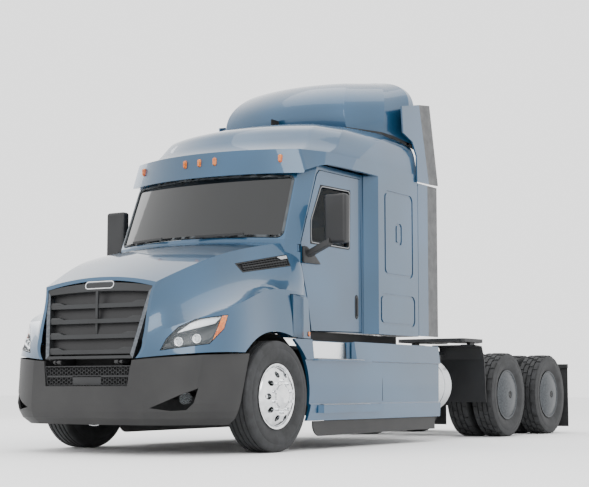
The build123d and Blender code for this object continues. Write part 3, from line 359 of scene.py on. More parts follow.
def choose(kind, test):
    # selects the faces, edges or verts that pass a test of their place or normal
    shape = bmesh.from_edit_mesh(bpy.context.object.data)
    bpy.ops.mesh.select_mode(type={"faces": "FACE", "edges": "EDGE", "verts": "VERT"}[kind])
    bpy.ops.mesh.select_all(action="DESELECT")
    for item in getattr(shape, kind):
        item.select_set(bool(test(item)))
    bmesh.update_edit_mesh(bpy.context.object.data)


def traceOutline(name, points, closed=True):
    # one vertex pulled from corner to corner, then filled
    bpy.ops.object.select_all(action="DESELECT")
    bpy.ops.mesh.primitive_plane_add(size=0.001, location=points[0])
    piece = bpy.context.object
    piece.name = name
    bpy.ops.object.transform_apply(location=True)
    bpy.ops.object.mode_set(mode="EDIT")
    bpy.ops.mesh.select_mode(type="VERT")
    bpy.ops.mesh.select_all(action="SELECT")
    bpy.ops.mesh.merge(type="CENTER")
    for start, end in zip(points, points[1:]):
        bpy.ops.mesh.extrude_vertices_move(TRANSFORM_OT_translate={"value": end - start})
    if closed:
        bpy.ops.mesh.select_all(action="SELECT")
        bpy.ops.mesh.edge_face_add()
    return piece


def pull(offset):
    bpy.ops.mesh.select_mode(type="FACE")
    bpy.ops.mesh.extrude_region_move(TRANSFORM_OT_translate={"value": offset})


def slab(name, points, offset):
    # a filled outline given a thickness
    piece = traceOutline(name, points)
    pull(offset)
    bpy.ops.mesh.select_all(action="SELECT")
    bpy.ops.mesh.normals_make_consistent(inside=False)
    leaveEditing()
    return piece


def hollowOut(width, offset):
    # turns the outline just traced into a ring of this width, and pulls it to its depth
    bpy.ops.mesh.inset(thickness=width)
    bpy.ops.mesh.delete(type="FACE")
    bpy.ops.mesh.select_all(action="SELECT")
    pull(offset)
    bpy.ops.mesh.select_all(action="SELECT")
    bpy.ops.mesh.normals_make_consistent(inside=False)
    leaveEditing()


def joinPieces(name, parts):
    bpy.ops.object.select_all(action="DESELECT")
    for part in parts:
        part.select_set(True)
    bpy.context.view_layer.objects.active = parts[0]
    if len(parts) > 1:
        bpy.ops.object.join()
    parts[0].name = name
    return parts[0]


def roundEdges(piece, width, segments=2, angle=30):
    makeActive(piece)
    rounding = piece.modifiers.new("rounding", "BEVEL")
    rounding.width = width
    rounding.segments = segments
    rounding.limit_method = "ANGLE"
    rounding.angle_limit = math.radians(angle)
    bpy.ops.object.modifier_apply(modifier="rounding")


def duplicatePiece(piece, name, move=(0, 0, 0), mirrored=False):
    # a copy with its own mesh, moved or mirrored across the middle of the vehicle
    makeActive(piece)
    bpy.ops.object.duplicate(linked=False)
    twin = bpy.context.object
    twin.name = name
    twin.location = Vector(twin.location) + Vector(move)
    if mirrored:
        twin.scale.x = -1
    bpy.ops.object.transform_apply(location=True, rotation=True, scale=True)
    if mirrored:
        bpy.ops.object.mode_set(mode="EDIT")
        bpy.ops.mesh.select_all(action="SELECT")
        bpy.ops.mesh.normals_make_consistent(inside=False)
        leaveEditing()
    return twin


def finishPiece(piece, finish, body, smooth=35, stands=()):
    makeActive(piece)
    bpy.ops.object.transform_apply(location=True, rotation=True, scale=True)
    bpy.ops.object.shade_smooth_by_angle(angle=math.radians(smooth))
    piece.data.materials.clear()
    piece.data.materials.append(finishes[finish])
    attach(piece, body)
    if stands:
        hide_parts(*stands)
    return piece


# tyres: one carcass of each kind, spun from its section, then copied to every place
tyre = {"radius": 0.5078, "treadHalf": 0.112, "grooveDepth": 0.013, "grooveHalf": 0.0055,
        "ribGrooves": (-0.075, -0.026, 0.026, 0.075), "driveGrooves": (-0.062, 0.0, 0.062),
        "frontSteps": 96, "driveSteps": 64, "blockRise": 0.011, "outerX": 1080, "innerX": 744,
        "sipe": 0.004}


def tyreSection(grooves, crown):
    side = [(0.100, 0.289), (0.104, 0.306), (0.1275, 0.345), (0.1385, 0.385), (0.1395, 0.410),
            (0.1375, 0.432), (0.1355, 0.436), (0.1362, 0.440), (0.1330, 0.478), (0.1285, 0.4915)]
    top = [(tyre["treadHalf"] + 0.006, crown - 0.004), (tyre["treadHalf"] - 0.004, crown)]
    tread = []
    half, depth = tyre["grooveHalf"], tyre["grooveDepth"]
    for groove in sorted(grooves, reverse=True):
        tread += [(groove + half + 0.002, crown), (groove + half - 0.002, crown - depth),
                  (groove - half + 0.002, crown - depth), (groove - half - 0.002, crown)]
    right = side + top
    left = [(-x, r) for x, r in reversed(right)]
    inner = [(-0.078, 0.289), (-0.108, 0.390), (-0.103, 0.476),
             (0.103, 0.476), (0.108, 0.390), (0.078, 0.289)]
    return right + tread + left + inner


def spinTyre(name, grooves, crown, steps):
    section = [Vector((x, 0, r)) for x, r in tyreSection(grooves, crown)]
    piece = traceOutline(name, section + section[:1], closed=False)
    bpy.ops.mesh.select_all(action="SELECT")
    bpy.ops.mesh.spin(steps=steps, angle=2 * math.pi, center=(0, 0, 0), axis=(1, 0, 0))
    bpy.ops.mesh.select_all(action="SELECT")
    bpy.ops.mesh.remove_doubles(threshold=0.0001)
    bpy.ops.mesh.normals_make_consistent(inside=False)
    return piece


def stepOf(centre, steps):
    # which slice of the spin a point lies in
    return int((math.atan2(centre.y, centre.z) / (2 * math.pi) * steps) % steps)


def isSipe(face):
    # every third face along the shoulders
    centre = face.calc_center_median()
    onShoulder = math.hypot(centre.y, centre.z) > 0.502 and abs(centre.x) > 0.098
    return onShoulder and stepOf(centre, tyre["frontSteps"]) % 3 == 0


def isBlock(face):
    # tread blocks are offset from row to row
    centre = face.calc_center_median()
    lowest = tyre["radius"] - tyre["blockRise"] - 0.0045
    if math.hypot(centre.y, centre.z) < lowest or abs(face.normal.x) > 0.5:
        return False
    row = sum(centre.x > groove for groove in tyre["driveGrooves"])
    return (stepOf(centre, tyre["driveSteps"]) + row) % 3 != 0


ribTyre = spinTyre("ribTyreMaster", tyre["ribGrooves"], tyre["radius"], tyre["frontSteps"])
choose("faces", isSipe)
bpy.ops.mesh.inset(thickness=tyre["sipe"], use_individual=True)
bpy.ops.mesh.extrude_region_shrink_fatten(TRANSFORM_OT_shrink_fatten={"value": -tyre["sipe"]})
leaveEditing()

driveCrown = tyre["radius"] - tyre["blockRise"]
driveTyre = spinTyre("driveTyreMaster", tyre["driveGrooves"], driveCrown, tyre["driveSteps"])

choose("faces", isBlock)
bpy.ops.mesh.extrude_region_shrink_fatten(TRANSFORM_OT_shrink_fatten={"value": tyre["blockRise"] - 0.0004})
leaveEditing()

for side, word in leftAndRight:
    front = duplicatePiece(ribTyre, f"tyreFront{word.title()}", place(side * tyre["outerX"], 0, wheelHeight))
    finishPiece(front, "tyre", f"wheel_front_{word}", 30, [f"tyre_front_{word}"])
    for axle, y in driveAxles:
        outer = duplicatePiece(driveTyre, "outer", place(side * tyre["outerX"], y, wheelHeight))
        inner = duplicatePiece(driveTyre, "inner", place(side * tyre["innerX"], y, wheelHeight))
        twins = joinPieces(f"twinTyres{axle}{word.title()}", [outer, inner])
        finishPiece(twins, "tyre", f"wheels_axle{axle}_{word}", 30,
                    [f"tyres_axle{axle}_{word}"])
for master in (ribTyre, driveTyre):
    bpy.data.objects.remove(master)
print("tyres made")


# lower grille: hexagon mesh in two bands either side of a bar, with a blank plate
mesh = {"pitch": 34, "wire": 5, "depth": 0.012, "rows": ((612, 676), (696, 772)), "front": -1250,
        "middle": 700, "columns": 16, "halfWidth": 478, "lean": 0.148, "lift": 6, "edge": 4,
        "plateHalf": 165, "plateZ": (612, 690), "plateGap": 8,
        "top": 779, "topHalf": 493, "low": 605, "lowHalf": 467, "rim": 0.009}


def hexCorner(k):
    reach = mesh["pitch"] / math.sqrt(3)
    turn = math.radians(60 * k)
    return place(reach * math.cos(turn), mesh["front"], mesh["middle"] + reach * math.sin(turn))


def isMeshCell(x, z, low, high):
    # inside the leaning sides of its band and clear of the blank plate
    gap, edge = mesh["plateGap"], mesh["edge"]
    besidePlate = abs(x) >= mesh["plateHalf"] + gap or z >= mesh["plateZ"][1] + gap
    betweenSides = abs(x) <= mesh["halfWidth"] - (mesh["top"] + 1 - z) * mesh["lean"]
    return low + edge <= z <= high - edge and betweenSides and besidePlate


def meshOpening(y, grow=0):
    # the four corners of the opening in the bumper, at this depth
    return [place(x, y, z) for x, z in ((-mesh["topHalf"] - grow, mesh["top"] + grow),
                                        (mesh["topHalf"] + grow, mesh["top"] + grow),
                                        (mesh["lowHalf"] + grow, mesh["low"] - grow),
                                        (-mesh["lowHalf"] - grow, mesh["low"] - grow))]


cell = traceOutline("hexCell", [hexCorner(k) for k in range(6)])
hollowOut(mesh["wire"] / 2000, Vector((0, mesh["depth"], 0)))

cells = []
for low, high in mesh["rows"]:
    for column in range(-mesh["columns"], mesh["columns"] + 1):
        for row in range(int((high - low) / mesh["pitch"]) + 1):
            x = column * mesh["pitch"] * math.sqrt(3) / 2
            z = low + mesh["pitch"] * (row + 0.5 * (column % 2)) + mesh["lift"]
            if isMeshCell(x, z, low, high):
                cells.append(duplicatePiece(cell, "cell", (x / 1000, 0, (z - mesh["middle"]) / 1000)))
bpy.data.objects.remove(cell)
screens = joinPieces("hexMesh", cells)
startEditing(screens)
bpy.ops.mesh.select_all(action="SELECT")
bpy.ops.mesh.remove_doubles(threshold=0.0015)
finishPiece(screens, "darkPlastic", "chassis", 20, ["bumper_grille"])

# dark backing, then the frame of the mesh with its bar and the blank plate
backing = slab("meshBacking", meshOpening(-1228, -1), Vector((0, -0.003, 0)))
finishPiece(backing, "blackVoid", "chassis")
rim = traceOutline("meshRim", meshOpening(-1231))
hollowOut(mesh["rim"], Vector((0, -0.018, 0)))
bar = slab("meshBar", [place(x, -1232, z) for x, z in ((-476, 696), (476, 696), (474, 677), (-474, 677))],
           Vector((0, -0.017, 0)))
half, (low, high) = mesh["plateHalf"], mesh["plateZ"]
plate = slab("numberPlateBlank", [place(x, -1238, z) for x, z in
                                  ((-half, high), (half, high), (half, low), (-half, low))],
             Vector((0, -0.011, 0)))
rimAndBar = joinPieces("meshFrame", [rim, bar, plate])
roundEdges(rimAndBar, 0.0025)
finishPiece(rimAndBar, "darkPlastic", "chassis")
print("lower grille made")


# grille: panels behind the bars, raised ends on the bars, and the bare oval badge
grilleFace = {"low": 842, "y": -1233, "tilt": 138 / 634, "panelBack": 59, "bars": 4, "barPitch": 138,
              "firstBar": 902, "halfWidth": 474, "spread": 104 / 600, "endDepth": 0.045}
badge = {"halfWidth": 168, "radius": 36, "z": 1506, "ring": 0.009, "thick": 0.012, "proud": 6}


def onGrille(x, height, behind=0.0):
    # a point on the leaning face of the grille, or that far behind it
    return place(x, grilleFace["y"] + grilleFace["tilt"] * (height - grilleFace["low"]) + behind, height)


panel = slab("grillePanel", [onGrille(x, z, grilleFace["panelBack"]) for x, z in
                             ((-474, 882), (474, 882), (572, 1452), (-572, 1452))], Vector((0, 0.002, 0)))
finishPiece(panel, "panelBlack", "hood")

barEnds = []
for bar in range(grilleFace["bars"]):
    z = grilleFace["firstBar"] + grilleFace["barPitch"] * bar
    half = grilleFace["halfWidth"] + grilleFace["spread"] * (z - grilleFace["low"])
    for side in (-1, 1):
        corners = ((half - 4, z + 17), (half - 12, z + 40), (half - 110, z + 40), (half - 175, z + 17))
        barEnds.append(slab("barEnd", [onGrille(side * x, height, 4) for x, height in corners],
                            Vector((0, grilleFace["endDepth"], 0))))
raisedEnds = joinPieces("grilleBarEnds", barEnds)
roundEdges(raisedEnds, 0.004)
finishPiece(raisedEnds, "grille", "hood")

ovalCorners = []
for side, start in ((1, -90), (-1, 90)):
    for step in range(9):
        turn = math.radians(start + 22.5 * step)
        x = side * (badge["halfWidth"] - badge["radius"]) + badge["radius"] * math.cos(turn)
        ovalCorners.append((x, badge["z"] + badge["radius"] * math.sin(turn)))
ring = traceOutline("badgeRing", [onGrille(x, z, badge["proud"]) for x, z in ovalCorners])
hollowOut(badge["ring"], Vector((0, -badge["thick"], 0)))
roundEdges(ring, 0.0025)
finishPiece(ring, "chrome", "hood")
field = slab("badgeField", [onGrille(x * 0.96, badge["z"] + (z - badge["z"]) * 0.8, badge["proud"])
                            for x, z in ovalCorners], Vector((0, -0.005, 0)))
roundEdges(field, 0.0015)
finishPiece(field, "badgeGrey", "hood")
print("grille dressed")


# rubber seals and bright lips round the door windows; each has its place across, width and depth
windowTrim = {"outline": ((783, 1985), (783, 2210), (975, 2590), (1565, 2602), (1552, 1985)),
              "corner": 0.035, "lipInset": 14, "seal": (1040, 0.020, 0.031), "lip": (1068, 0.004, 0.005)}


def insetOutline(points, amount):
    # the same outline drawn inwards, about its middle
    centreY = sum(p[0] for p in points) / len(points)
    centreZ = sum(p[1] for p in points) / len(points)
    return [(y + math.copysign(amount, centreY - y), z + math.copysign(amount, centreZ - z))
            for y, z in points]


def windowRing(name, side, outline, size, finish):
    x, width, deep = size
    piece = traceOutline(name, [place(side * x, y, z) for y, z in outline])
    bpy.ops.mesh.bevel(offset=windowTrim["corner"], segments=5, affect="VERTICES")
    bpy.ops.mesh.select_all(action="SELECT")
    hollowOut(width, Vector((side * deep, 0, 0)))
    finishPiece(piece, finish, "door_left" if side > 0 else "door_right")


for side, word in leftAndRight:
    outline = windowTrim["outline"]
    windowRing(f"windowSeal{word.title()}", side, outline, windowTrim["seal"], "rubber")
    windowRing(f"windowLip{word.title()}", side, insetOutline(outline, windowTrim["lipInset"]),
               windowTrim["lip"], "satin")


# skin patches of CAD nodes, which seals and lamp lenses follow
def skinPatch(name, node, test):
    patch = bpy.data.objects.new(name, nodes[node].data.copy())
    bpy.context.collection.objects.link(patch)
    startEditing(patch)
    bpy.ops.mesh.select_all(action="SELECT")
    bpy.ops.mesh.remove_doubles(threshold=0.0003)
    choose("faces", lambda f: not test(f))
    bpy.ops.mesh.delete(type="FACE")
    leaveEditing()
    return patch


def thicken(piece, thickness, offset):
    makeActive(piece)
    wall = piece.modifiers.new("wall", "SOLIDIFY")
    wall.thickness = thickness
    wall.offset = offset
    bpy.ops.object.modifier_apply(modifier="wall")


def rimOf(patch, name, width, thickness, offset):
    # the border of a skin patch, with a wall
    piece = duplicatePiece(patch, name)
    startEditing(piece)
    bpy.ops.mesh.select_all(action="SELECT")
    bpy.ops.mesh.inset(thickness=width, use_boundary=True)
    bpy.ops.mesh.delete(type="FACE")
    thicken(piece, thickness, offset)
    return piece


screenSkin = skinPatch("screenSkin", "windscreen", lambda f: f.normal.y < -0.3)
screenSeal = rimOf(screenSkin, "windscreenSeal", 0.024, 0.012, 1.0)
finishPiece(screenSeal, "sealGrey", "chassis")
bpy.data.objects.remove(screenSkin)
print("seals made")


# headlamps, laid out on the lamp's plane: clear lens and amber end, dark bowl, light strip, two projectors
lamp = {"centre": place(940, -930, 1060), "along": Vector((0.7507, 0.6606, 0)),
        "out": Vector((0.6606, -0.7507, 0)), "bowlDepth": 0.085, "bowlTaper": (0.93, 0.93, 0.9),
        "stripBack": 0.018,
        "projectors": ((-132, -79), (24, -52)), "projectorRadius": 0.040, "projectorBack": 0.050,
        "projectorTurn": 22, "amberLine": ((255, 170), (140, -100)),
        "strip": ((-150, 0), (-38, 82), (66, 124), (250, 152), (181, 84))}


def onLamp(s, z):
    return lamp["centre"] + lamp["along"] * s / 1000 + Vector((0, 0, z / 1000))


def cutAcross(start, end, clearRight):
    # a cut square to the lamp's plane through two points of it; one side of the line goes
    a, b = onLamp(*start), onLamp(*end)
    bpy.ops.mesh.select_all(action="SELECT")
    bpy.ops.mesh.bisect(plane_co=a, plane_no=(b - a).cross(lamp["out"]).normalized(),
                        clear_outer=clearRight, clear_inner=not clearRight)


def frontOfLamp(face):
    return face.calc_center_median().x > 0 and face.normal.dot(lamp["out"]) > 0.25


def onSkin(patch, s, z, back):
    # the point of the lamp's skin straight out from its plane, then that far behind it
    hit, point, normal, index = patch.ray_cast(onLamp(s, z) + lamp["out"] * 0.5, -lamp["out"])
    return point - lamp["out"] * back


def bothSides(piece, name, finish, smooth=35, stands=()):
    twin = duplicatePiece(piece, f"{name}Right", mirrored=True)
    piece.name = f"{name}Left"
    finishPiece(piece, finish, "hood", smooth, stands)
    finishPiece(twin, finish, "hood", smooth)


def projectorCup(point, radius):
    bpy.ops.object.select_all(action="DESELECT")
    bpy.ops.mesh.primitive_cylinder_add(vertices=32, radius=radius, depth=0.05, location=point,
                                        rotation=(math.radians(90), 0, math.radians(lamp["projectorTurn"])))
    cup = bpy.context.object
    bpy.ops.object.transform_apply(location=True, rotation=True)
    bpy.ops.object.mode_set(mode="EDIT")
    choose("faces", lambda f: f.normal.y < -0.7 and len(f.verts) > 8)
    bpy.ops.mesh.inset(thickness=0.007)
    bpy.ops.mesh.extrude_region_move(TRANSFORM_OT_translate={"value": Vector((0, 0.02, 0))})
    bpy.ops.transform.resize(value=(0.7, 0.7, 0.7))
    leaveEditing()
    roundEdges(cup, 0.002)
    return cup


def projectorBall(point, radius):
    # flattened along the lamp's depth
    bpy.ops.object.select_all(action="DESELECT")
    bpy.ops.mesh.primitive_uv_sphere_add(segments=24, ring_count=14, radius=radius * 0.62,
                                         location=point + Vector((0, -0.006, 0)))
    ball = bpy.context.object
    bpy.ops.object.transform_apply(location=True)
    bpy.ops.object.mode_set(mode="EDIT")
    bpy.ops.mesh.select_all(action="SELECT")
    bpy.ops.transform.resize(value=(1, 0.6, 1))
    leaveEditing()
    return ball


lampSkin = skinPatch("lampSkin", "headlamps", frontOfLamp)

bowl = duplicatePiece(lampSkin, "bowl")
startEditing(bowl)
bpy.ops.mesh.select_mode(type="EDGE")
bpy.ops.mesh.select_all(action="SELECT")
bpy.ops.mesh.region_to_loop()
bpy.ops.mesh.extrude_region_move(TRANSFORM_OT_translate={"value": -lamp["out"] * lamp["bowlDepth"]})
bpy.ops.transform.resize(value=lamp["bowlTaper"])
bpy.ops.mesh.edge_face_add()
# only the skin's own faces are triangles; without them the bowl is open to the front
choose("faces", lambda f: len(f.verts) == 3)
bpy.ops.mesh.delete(type="FACE")
bpy.ops.mesh.select_all(action="SELECT")
bpy.ops.mesh.normals_make_consistent(inside=True)
leaveEditing()
thicken(bowl, 0.002, 1.0)
bothSides(bowl, "lampBowl", "bowlBlack", stands=["headlamps"])

lens = duplicatePiece(lampSkin, "lens")
startEditing(lens)
cutAcross(*lamp["amberLine"], False)
thicken(lens, 0.003, -1.0)
bothSides(lens, "lampLens", "lens", 60)

amberEnd = duplicatePiece(lampSkin, "amberEnd")
startEditing(amberEnd)
cutAcross(*lamp["amberLine"], True)
thicken(amberEnd, 0.004, -1.0)
bothSides(amberEnd, "lampAmberEnd", "amber", 60)

strip = duplicatePiece(lampSkin, "strip", -lamp["out"] * lamp["stripBack"])
startEditing(strip)
for start, end in zip(lamp["strip"], lamp["strip"][1:] + lamp["strip"][:1]):
    cutAcross(start, end, False)
thicken(strip, 0.008, -1.0)
bothSides(strip, "lampStrip", "frosted", 60)

projectors = []
for s, z in lamp["projectors"]:
    point = onSkin(lampSkin, s, z, lamp["projectorBack"])
    radius = lamp["projectorRadius"]
    projectors.append((projectorCup(point, radius), projectorBall(point, radius)))
cups = joinPieces("cups", [cup for cup, ball in projectors])
balls = joinPieces("balls", [ball for cup, ball in projectors])
bothSides(cups, "lampProjectorRings", "chrome")
bothSides(balls, "lampProjectorGlass", "lensGlass", 60)
bpy.data.objects.remove(lampSkin)
print("headlamps made")


# mirrors on their arms, and the door handles
mirror = {"centre": (1362, 800, 2213), "size": (0.240, 0.104, 0.480), "round": 0.034, "tray": 0.006,
          "glassHalf": (72, 192), "glassY": 846, "armReach": (0.24, 0.05, 0.125),
          "armFoot": ((668, 1838), (760, 1838), (740, 1902), (680, 1902)),
          "base": ((628, 1786), (628, 1950), (690, 1950), (800, 1900), (950, 1792))}
handle = {"y": 1685, "z": 1410, "recess": (122, 28, 1053, 0.022), "grip": (92, 13, 1072, 0.014)}


def mirrorHead(side):
    # rounded housing; a border inside its front face holds the rounding, and a tray behind takes the glass
    x, y, z = mirror["centre"]
    bpy.ops.object.select_all(action="DESELECT")
    bpy.ops.mesh.primitive_cube_add(size=1, location=place(side * x, y, z), scale=mirror["size"])
    head = bpy.context.object
    bpy.ops.object.transform_apply(location=True, scale=True)
    bpy.ops.object.mode_set(mode="EDIT")
    choose("faces", lambda f: f.normal.y < -0.9)
    bpy.ops.mesh.inset(thickness=0.03)
    leaveEditing()
    roundEdges(head, mirror["round"], 5, 60)
    startEditing(head)
    choose("faces", lambda f: f.normal.y > 0.99 and f.calc_area() > 0.02)
    bpy.ops.mesh.inset(thickness=mirror["tray"])
    bpy.ops.mesh.extrude_region_move(TRANSFORM_OT_translate={"value": Vector((0, -mirror["tray"], 0))})
    leaveEditing()
    return head


def mirrorCarrier(side):
    armX, armY, armZ = mirror["armReach"]
    reach = Vector((side * armX, armY, armZ))
    arm = slab("arm", [place(side * 1075, y, z) for y, z in mirror["armFoot"]], reach)
    base = slab("base", [place(side * 1069, y, z) for y, z in mirror["base"]], Vector((side * 0.028, 0, 0)))
    carrier = joinPieces("carrier", [arm, base])
    roundEdges(carrier, 0.009, 3)
    return carrier


def handleLayer(side, length, width, x, deep):
    # an upright slot shape with half-round ends
    outline = []
    for centreZ, start in ((handle["z"] + length - width, 0), (handle["z"] - length + width, 180)):
        for step in range(9):
            turn = math.radians(start + 22.5 * step)
            outline.append(place(side * x, handle["y"] + width * math.cos(turn),
                                 centreZ + width * math.sin(turn)))
    return slab("grip", outline, Vector((side * deep, 0, 0)))


for side, word in leftAndRight:
    whole = joinPieces(f"mirror{word.title()}", [mirrorHead(side), mirrorCarrier(side)])
    finishPiece(whole, "darkPlastic", f"door_{word}", 40, [f"door_fittings_{word}"])
    halfWide, halfHigh = mirror["glassHalf"]
    glassPane = slab(f"mirrorGlass{word.title()}",
                     [place(side * (mirror["centre"][0] + dx), mirror["glassY"], mirror["centre"][2] + dz)
                      for dx, dz in ((-halfWide, -halfHigh), (halfWide, -halfHigh), (halfWide, halfHigh),
                                     (-halfWide, halfHigh))], Vector((0, 0.002, 0)))
    finishPiece(glassPane, "chrome", f"door_{word}")
    grip = joinPieces(f"doorHandle{word.title()}", [handleLayer(side, *handle["recess"]),
                                                    handleLayer(side, *handle["grip"])])
    roundEdges(grip, 0.005, 3)
    finishPiece(grip, "darkPlastic", f"door_{word}")
print("mirrors and handles made")


# air vents in the hood sides: rim, dark bed, slats with ribs between them, and a bright tip
vent = {"outline": ((-234, 1724), (-181, 1640), (420, 1738), (420, 1852)), "bedBack": 0.022, "rim": 0.009,
        "slats": ((0.28, 0.03), (0.5, 0.055), (0.72, 0.03)), "ribs": 17, "firstRib": 0.10, "ribPitch": 0.053,
        "ribWidth": 0.008, "ribLean": 0.022,
        "tip": ((0.86, 0.66), (0.985, 0.66), (0.985, 0.92), (0.80, 0.92))}
ventSkin = skinPatch("ventSkin", "hood_vents", lambda f: f.calc_center_median().x > 0 and f.normal.x > 0.3)


def onVent(share, height, out):
    # share runs from front to rear, height from the lower to the upper edge
    (y0, z0), (y1, z1), (y2, z2), (y3, z3) = vent["outline"]
    low = Vector((0, y1 + (y2 - y1) * share, z1 + (z2 - z1) * share))
    high = Vector((0, y0 + (y3 - y0) * share, z0 + (z3 - z0) * share))
    spot = low + (high - low) * height
    hit, point, normal, index = ventSkin.ray_cast(place(2000, spot.y, spot.z), Vector((-1, 0, 0)))
    return (point if hit else place(1060, spot.y, spot.z)) + Vector((out, 0, 0))


def ventSlab(corners, out, thickness):
    outline = [onVent(share, height, out) for share, height in corners]
    return slab("ventPart", outline, Vector((-thickness, 0, 0)))


bed = duplicatePiece(ventSkin, "bed", (-vent["bedBack"], 0, 0))
thicken(bed, 0.003, 1.0)
bothSides(bed, "ventBed", "blackVoid", stands=["hood_vents"])
bothSides(rimOf(ventSkin, "rim", vent["rim"], 0.02, -1.0), "ventRim", "darkPlastic")
slatParts = []
for height, half in vent["slats"]:
    start = 0.06 + 0.1 * abs(height - 0.2)
    slatParts.append(ventSlab(((start, height - half), (0.97, height - half), (0.97, height + half),
                               (start, height + half)), -0.004, 0.014))
for rib in range(vent["ribs"]):
    share = vent["firstRib"] + vent["ribPitch"] * rib
    top = share + vent["ribLean"]
    width = vent["ribWidth"]
    slatParts.append(ventSlab(((share, 0.08), (share + width, 0.08), (top + width, 0.92), (top, 0.92)),
                              -0.008, 0.010))
bothSides(joinPieces("slats", slatParts), "ventSlats", "darkPlastic")
bothSides(ventSlab(vent["tip"], 0.001, 0.005), "ventTip", "satin")
bpy.data.objects.remove(ventSkin)
print("vents made")


# ribbed aluminium treads, the polished plate behind the upper step, and the seam of the fairing panels
steps = {"upper": ((1150, 1232), (664, 1560), 862), "lower": ((1182, 1258), (730, 1640), 425),
         "ribPitch": 22, "ribWidth": 9, "sheet": 3, "rise": 4, "seam": (1193.2, 1998, 5, 455, 838),
         "plateX": 1114, "plate": ((668, 872), (1396, 872), (1360, 1034), (640, 1034))}


def flatBlock(side, across, along, z, thick):
    # a block lying level, between two places across and two along
    corners = ((across[0], along[0]), (across[1], along[0]), (across[1], along[1]), (across[0], along[1]))
    return slab("block", [place(side * x, y, z) for x, y in corners], Vector((0, 0, thick / 1000)))


for side, word in leftAndRight:
    treads = []
    for across, along, z in (steps["upper"], steps["lower"]):
        treads.append(flatBlock(side, across, along, z, steps["sheet"]))
        for k in range(int((along[1] - along[0] - 20) / steps["ribPitch"])):
            y = along[0] + 14 + steps["ribPitch"] * k
            treads.append(flatBlock(side, (across[0] + 6, across[1] - 4), (y, y + steps["ribWidth"]),
                                    z + steps["sheet"], steps["rise"]))
    treadPiece = joinPieces(f"stepTreads{word.title()}", treads)
    roundEdges(treadPiece, 0.0012, 1)
    finishPiece(treadPiece, "satin", "chassis")
    outline = [place(side * steps["plateX"], y, z) for y, z in steps["plate"]]
    plate = slab(f"recessPlate{word.title()}", outline, Vector((side * 0.003, 0, 0)))
    roundEdges(plate, 0.001, 1)
    finishPiece(plate, "recess", "chassis")
    x, y, width, low, high = steps["seam"]
    outline = [place(side * x, *spot) for spot in ((y, low), (y + width, low), (y + width, high), (y, high))]
    seam = slab(f"fairingSeam{word.title()}", outline, Vector((side * 0.0012, 0, 0)))
    finishPiece(seam, "blackVoid", "chassis")
print("steps and fairing details made")


# nuts round the front hubs, and the dark centre of each rear cover
nut = {"circle": 143, "radius": 0.0175, "out": 1254, "count": 10, "length": 0.030, "tip": 0.008}
hubCentre = {"layers": ((0.052, 1219, 0.016), (0.030, 1226, 0.014)), "dish": 0.004}


def crossCylinder(radius, length, spot, vertices):
    # a cylinder lying across the vehicle, left open for editing
    bpy.ops.object.select_all(action="DESELECT")
    bpy.ops.mesh.primitive_cylinder_add(vertices=vertices, radius=radius, depth=length, location=spot,
                                        rotation=(0, math.radians(90), 0))
    piece = bpy.context.object
    bpy.ops.object.transform_apply(location=True, rotation=True)
    bpy.ops.object.mode_set(mode="EDIT")
    return piece


def stepOuterFace(side, corners, width, move):
    # narrows the outer end face, then moves it across
    choose("faces", lambda f: side * f.normal.x > 0.9 and len(f.verts) >= corners)
    bpy.ops.mesh.inset(thickness=width)
    bpy.ops.mesh.extrude_region_move(TRANSFORM_OT_translate={"value": Vector((side * move, 0, 0))})
    leaveEditing()


for side, word in leftAndRight:
    nuts = []
    for k in range(nut["count"]):
        turn = 2 * math.pi * (k + 0.5) / nut["count"]
        spot = place(side * nut["out"], nut["circle"] * math.cos(turn),
                     wheelHeight + nut["circle"] * math.sin(turn))
        nuts.append(crossCylinder(nut["radius"], nut["length"], spot, 6))
        stepOuterFace(side, 6, 0.005, nut["tip"])
    nutRing = joinPieces(f"wheelNuts{word.title()}", nuts)
    roundEdges(nutRing, 0.0015, 2)
    finishPiece(nutRing, "chrome", f"wheel_front_{word}")
    for axle, y in driveAxles:
        layers = []
        for radius, x, length in hubCentre["layers"]:
            layers.append(crossCylinder(radius, length, place(side * x, y, wheelHeight), 40))
            stepOuterFace(side, 40, radius * 0.3, -hubCentre["dish"])
        centre = joinPieces(f"coverCentre{axle}{word.title()}", layers)
        roundEdges(centre, 0.002, 2)
        finishPiece(centre, "darkPlastic", f"wheels_axle{axle}_{word}")
print("wheel details made")


# dark liners in the wheel arches; dark strips under the cab doors as a painted shadow line, and dark sheets
# behind the grille and under the roof fairing as painted shade; side lamps
linersAndShade = {"arch": ((-560, 800), (-480, 960), (-300, 1075), (0, 1105), (300, 1075), (480, 960), (560, 800)),
         "archX": (620, 1050), "archShrink": 0.985,
         "shadowLineX": 1030, "shadowLineY": (610, 2610), "shadowLineZ": (1040, 1132),
         "behindGrille": ((-800, 720), (800, 720), (800, 985), (-800, 985)),
         "underFairing": ((1720, 3340), (2300, 3320), (2960, 3200), (2960, 3480), (1720, 3480))}
sideLamp = {"place": (1076, 741, 1103), "halfWidth": 17, "halfHeight": 26, "rise": 0.012}
footLine = ((1700, 3374), (1860, 3374), (1990, 3360), (2330, 3338), (2500, 3316), (2700, 3262), (2900, 3220))


def archLiner(side):
    inner, outer = linersAndShade["archX"]
    shrink = linersAndShade["archShrink"]
    upper = [place(side * inner, y, z) for y, z in linersAndShade["arch"]]
    lower = [place(side * inner, y * shrink, wheelHeight + (z - wheelHeight) * shrink)
             for y, z in reversed(linersAndShade["arch"])]
    return slab("arch", upper + lower, Vector((side * (outer - inner) / 1000, 0, 0)))


def onFootLine(face):
    # the lower edge of the roof fairing's wall
    centre = face.calc_center_median()
    y, z = (centre.y - frontAxle) * 1000, centre.z * 1000
    for (y0, z0), (y1, z1) in zip(footLine, footLine[1:]):
        if y0 <= y <= y1:
            return abs(z - z0 - (z1 - z0) * (y - y0) / (y1 - y0)) < 5 and face.normal.z < -0.6
    return False


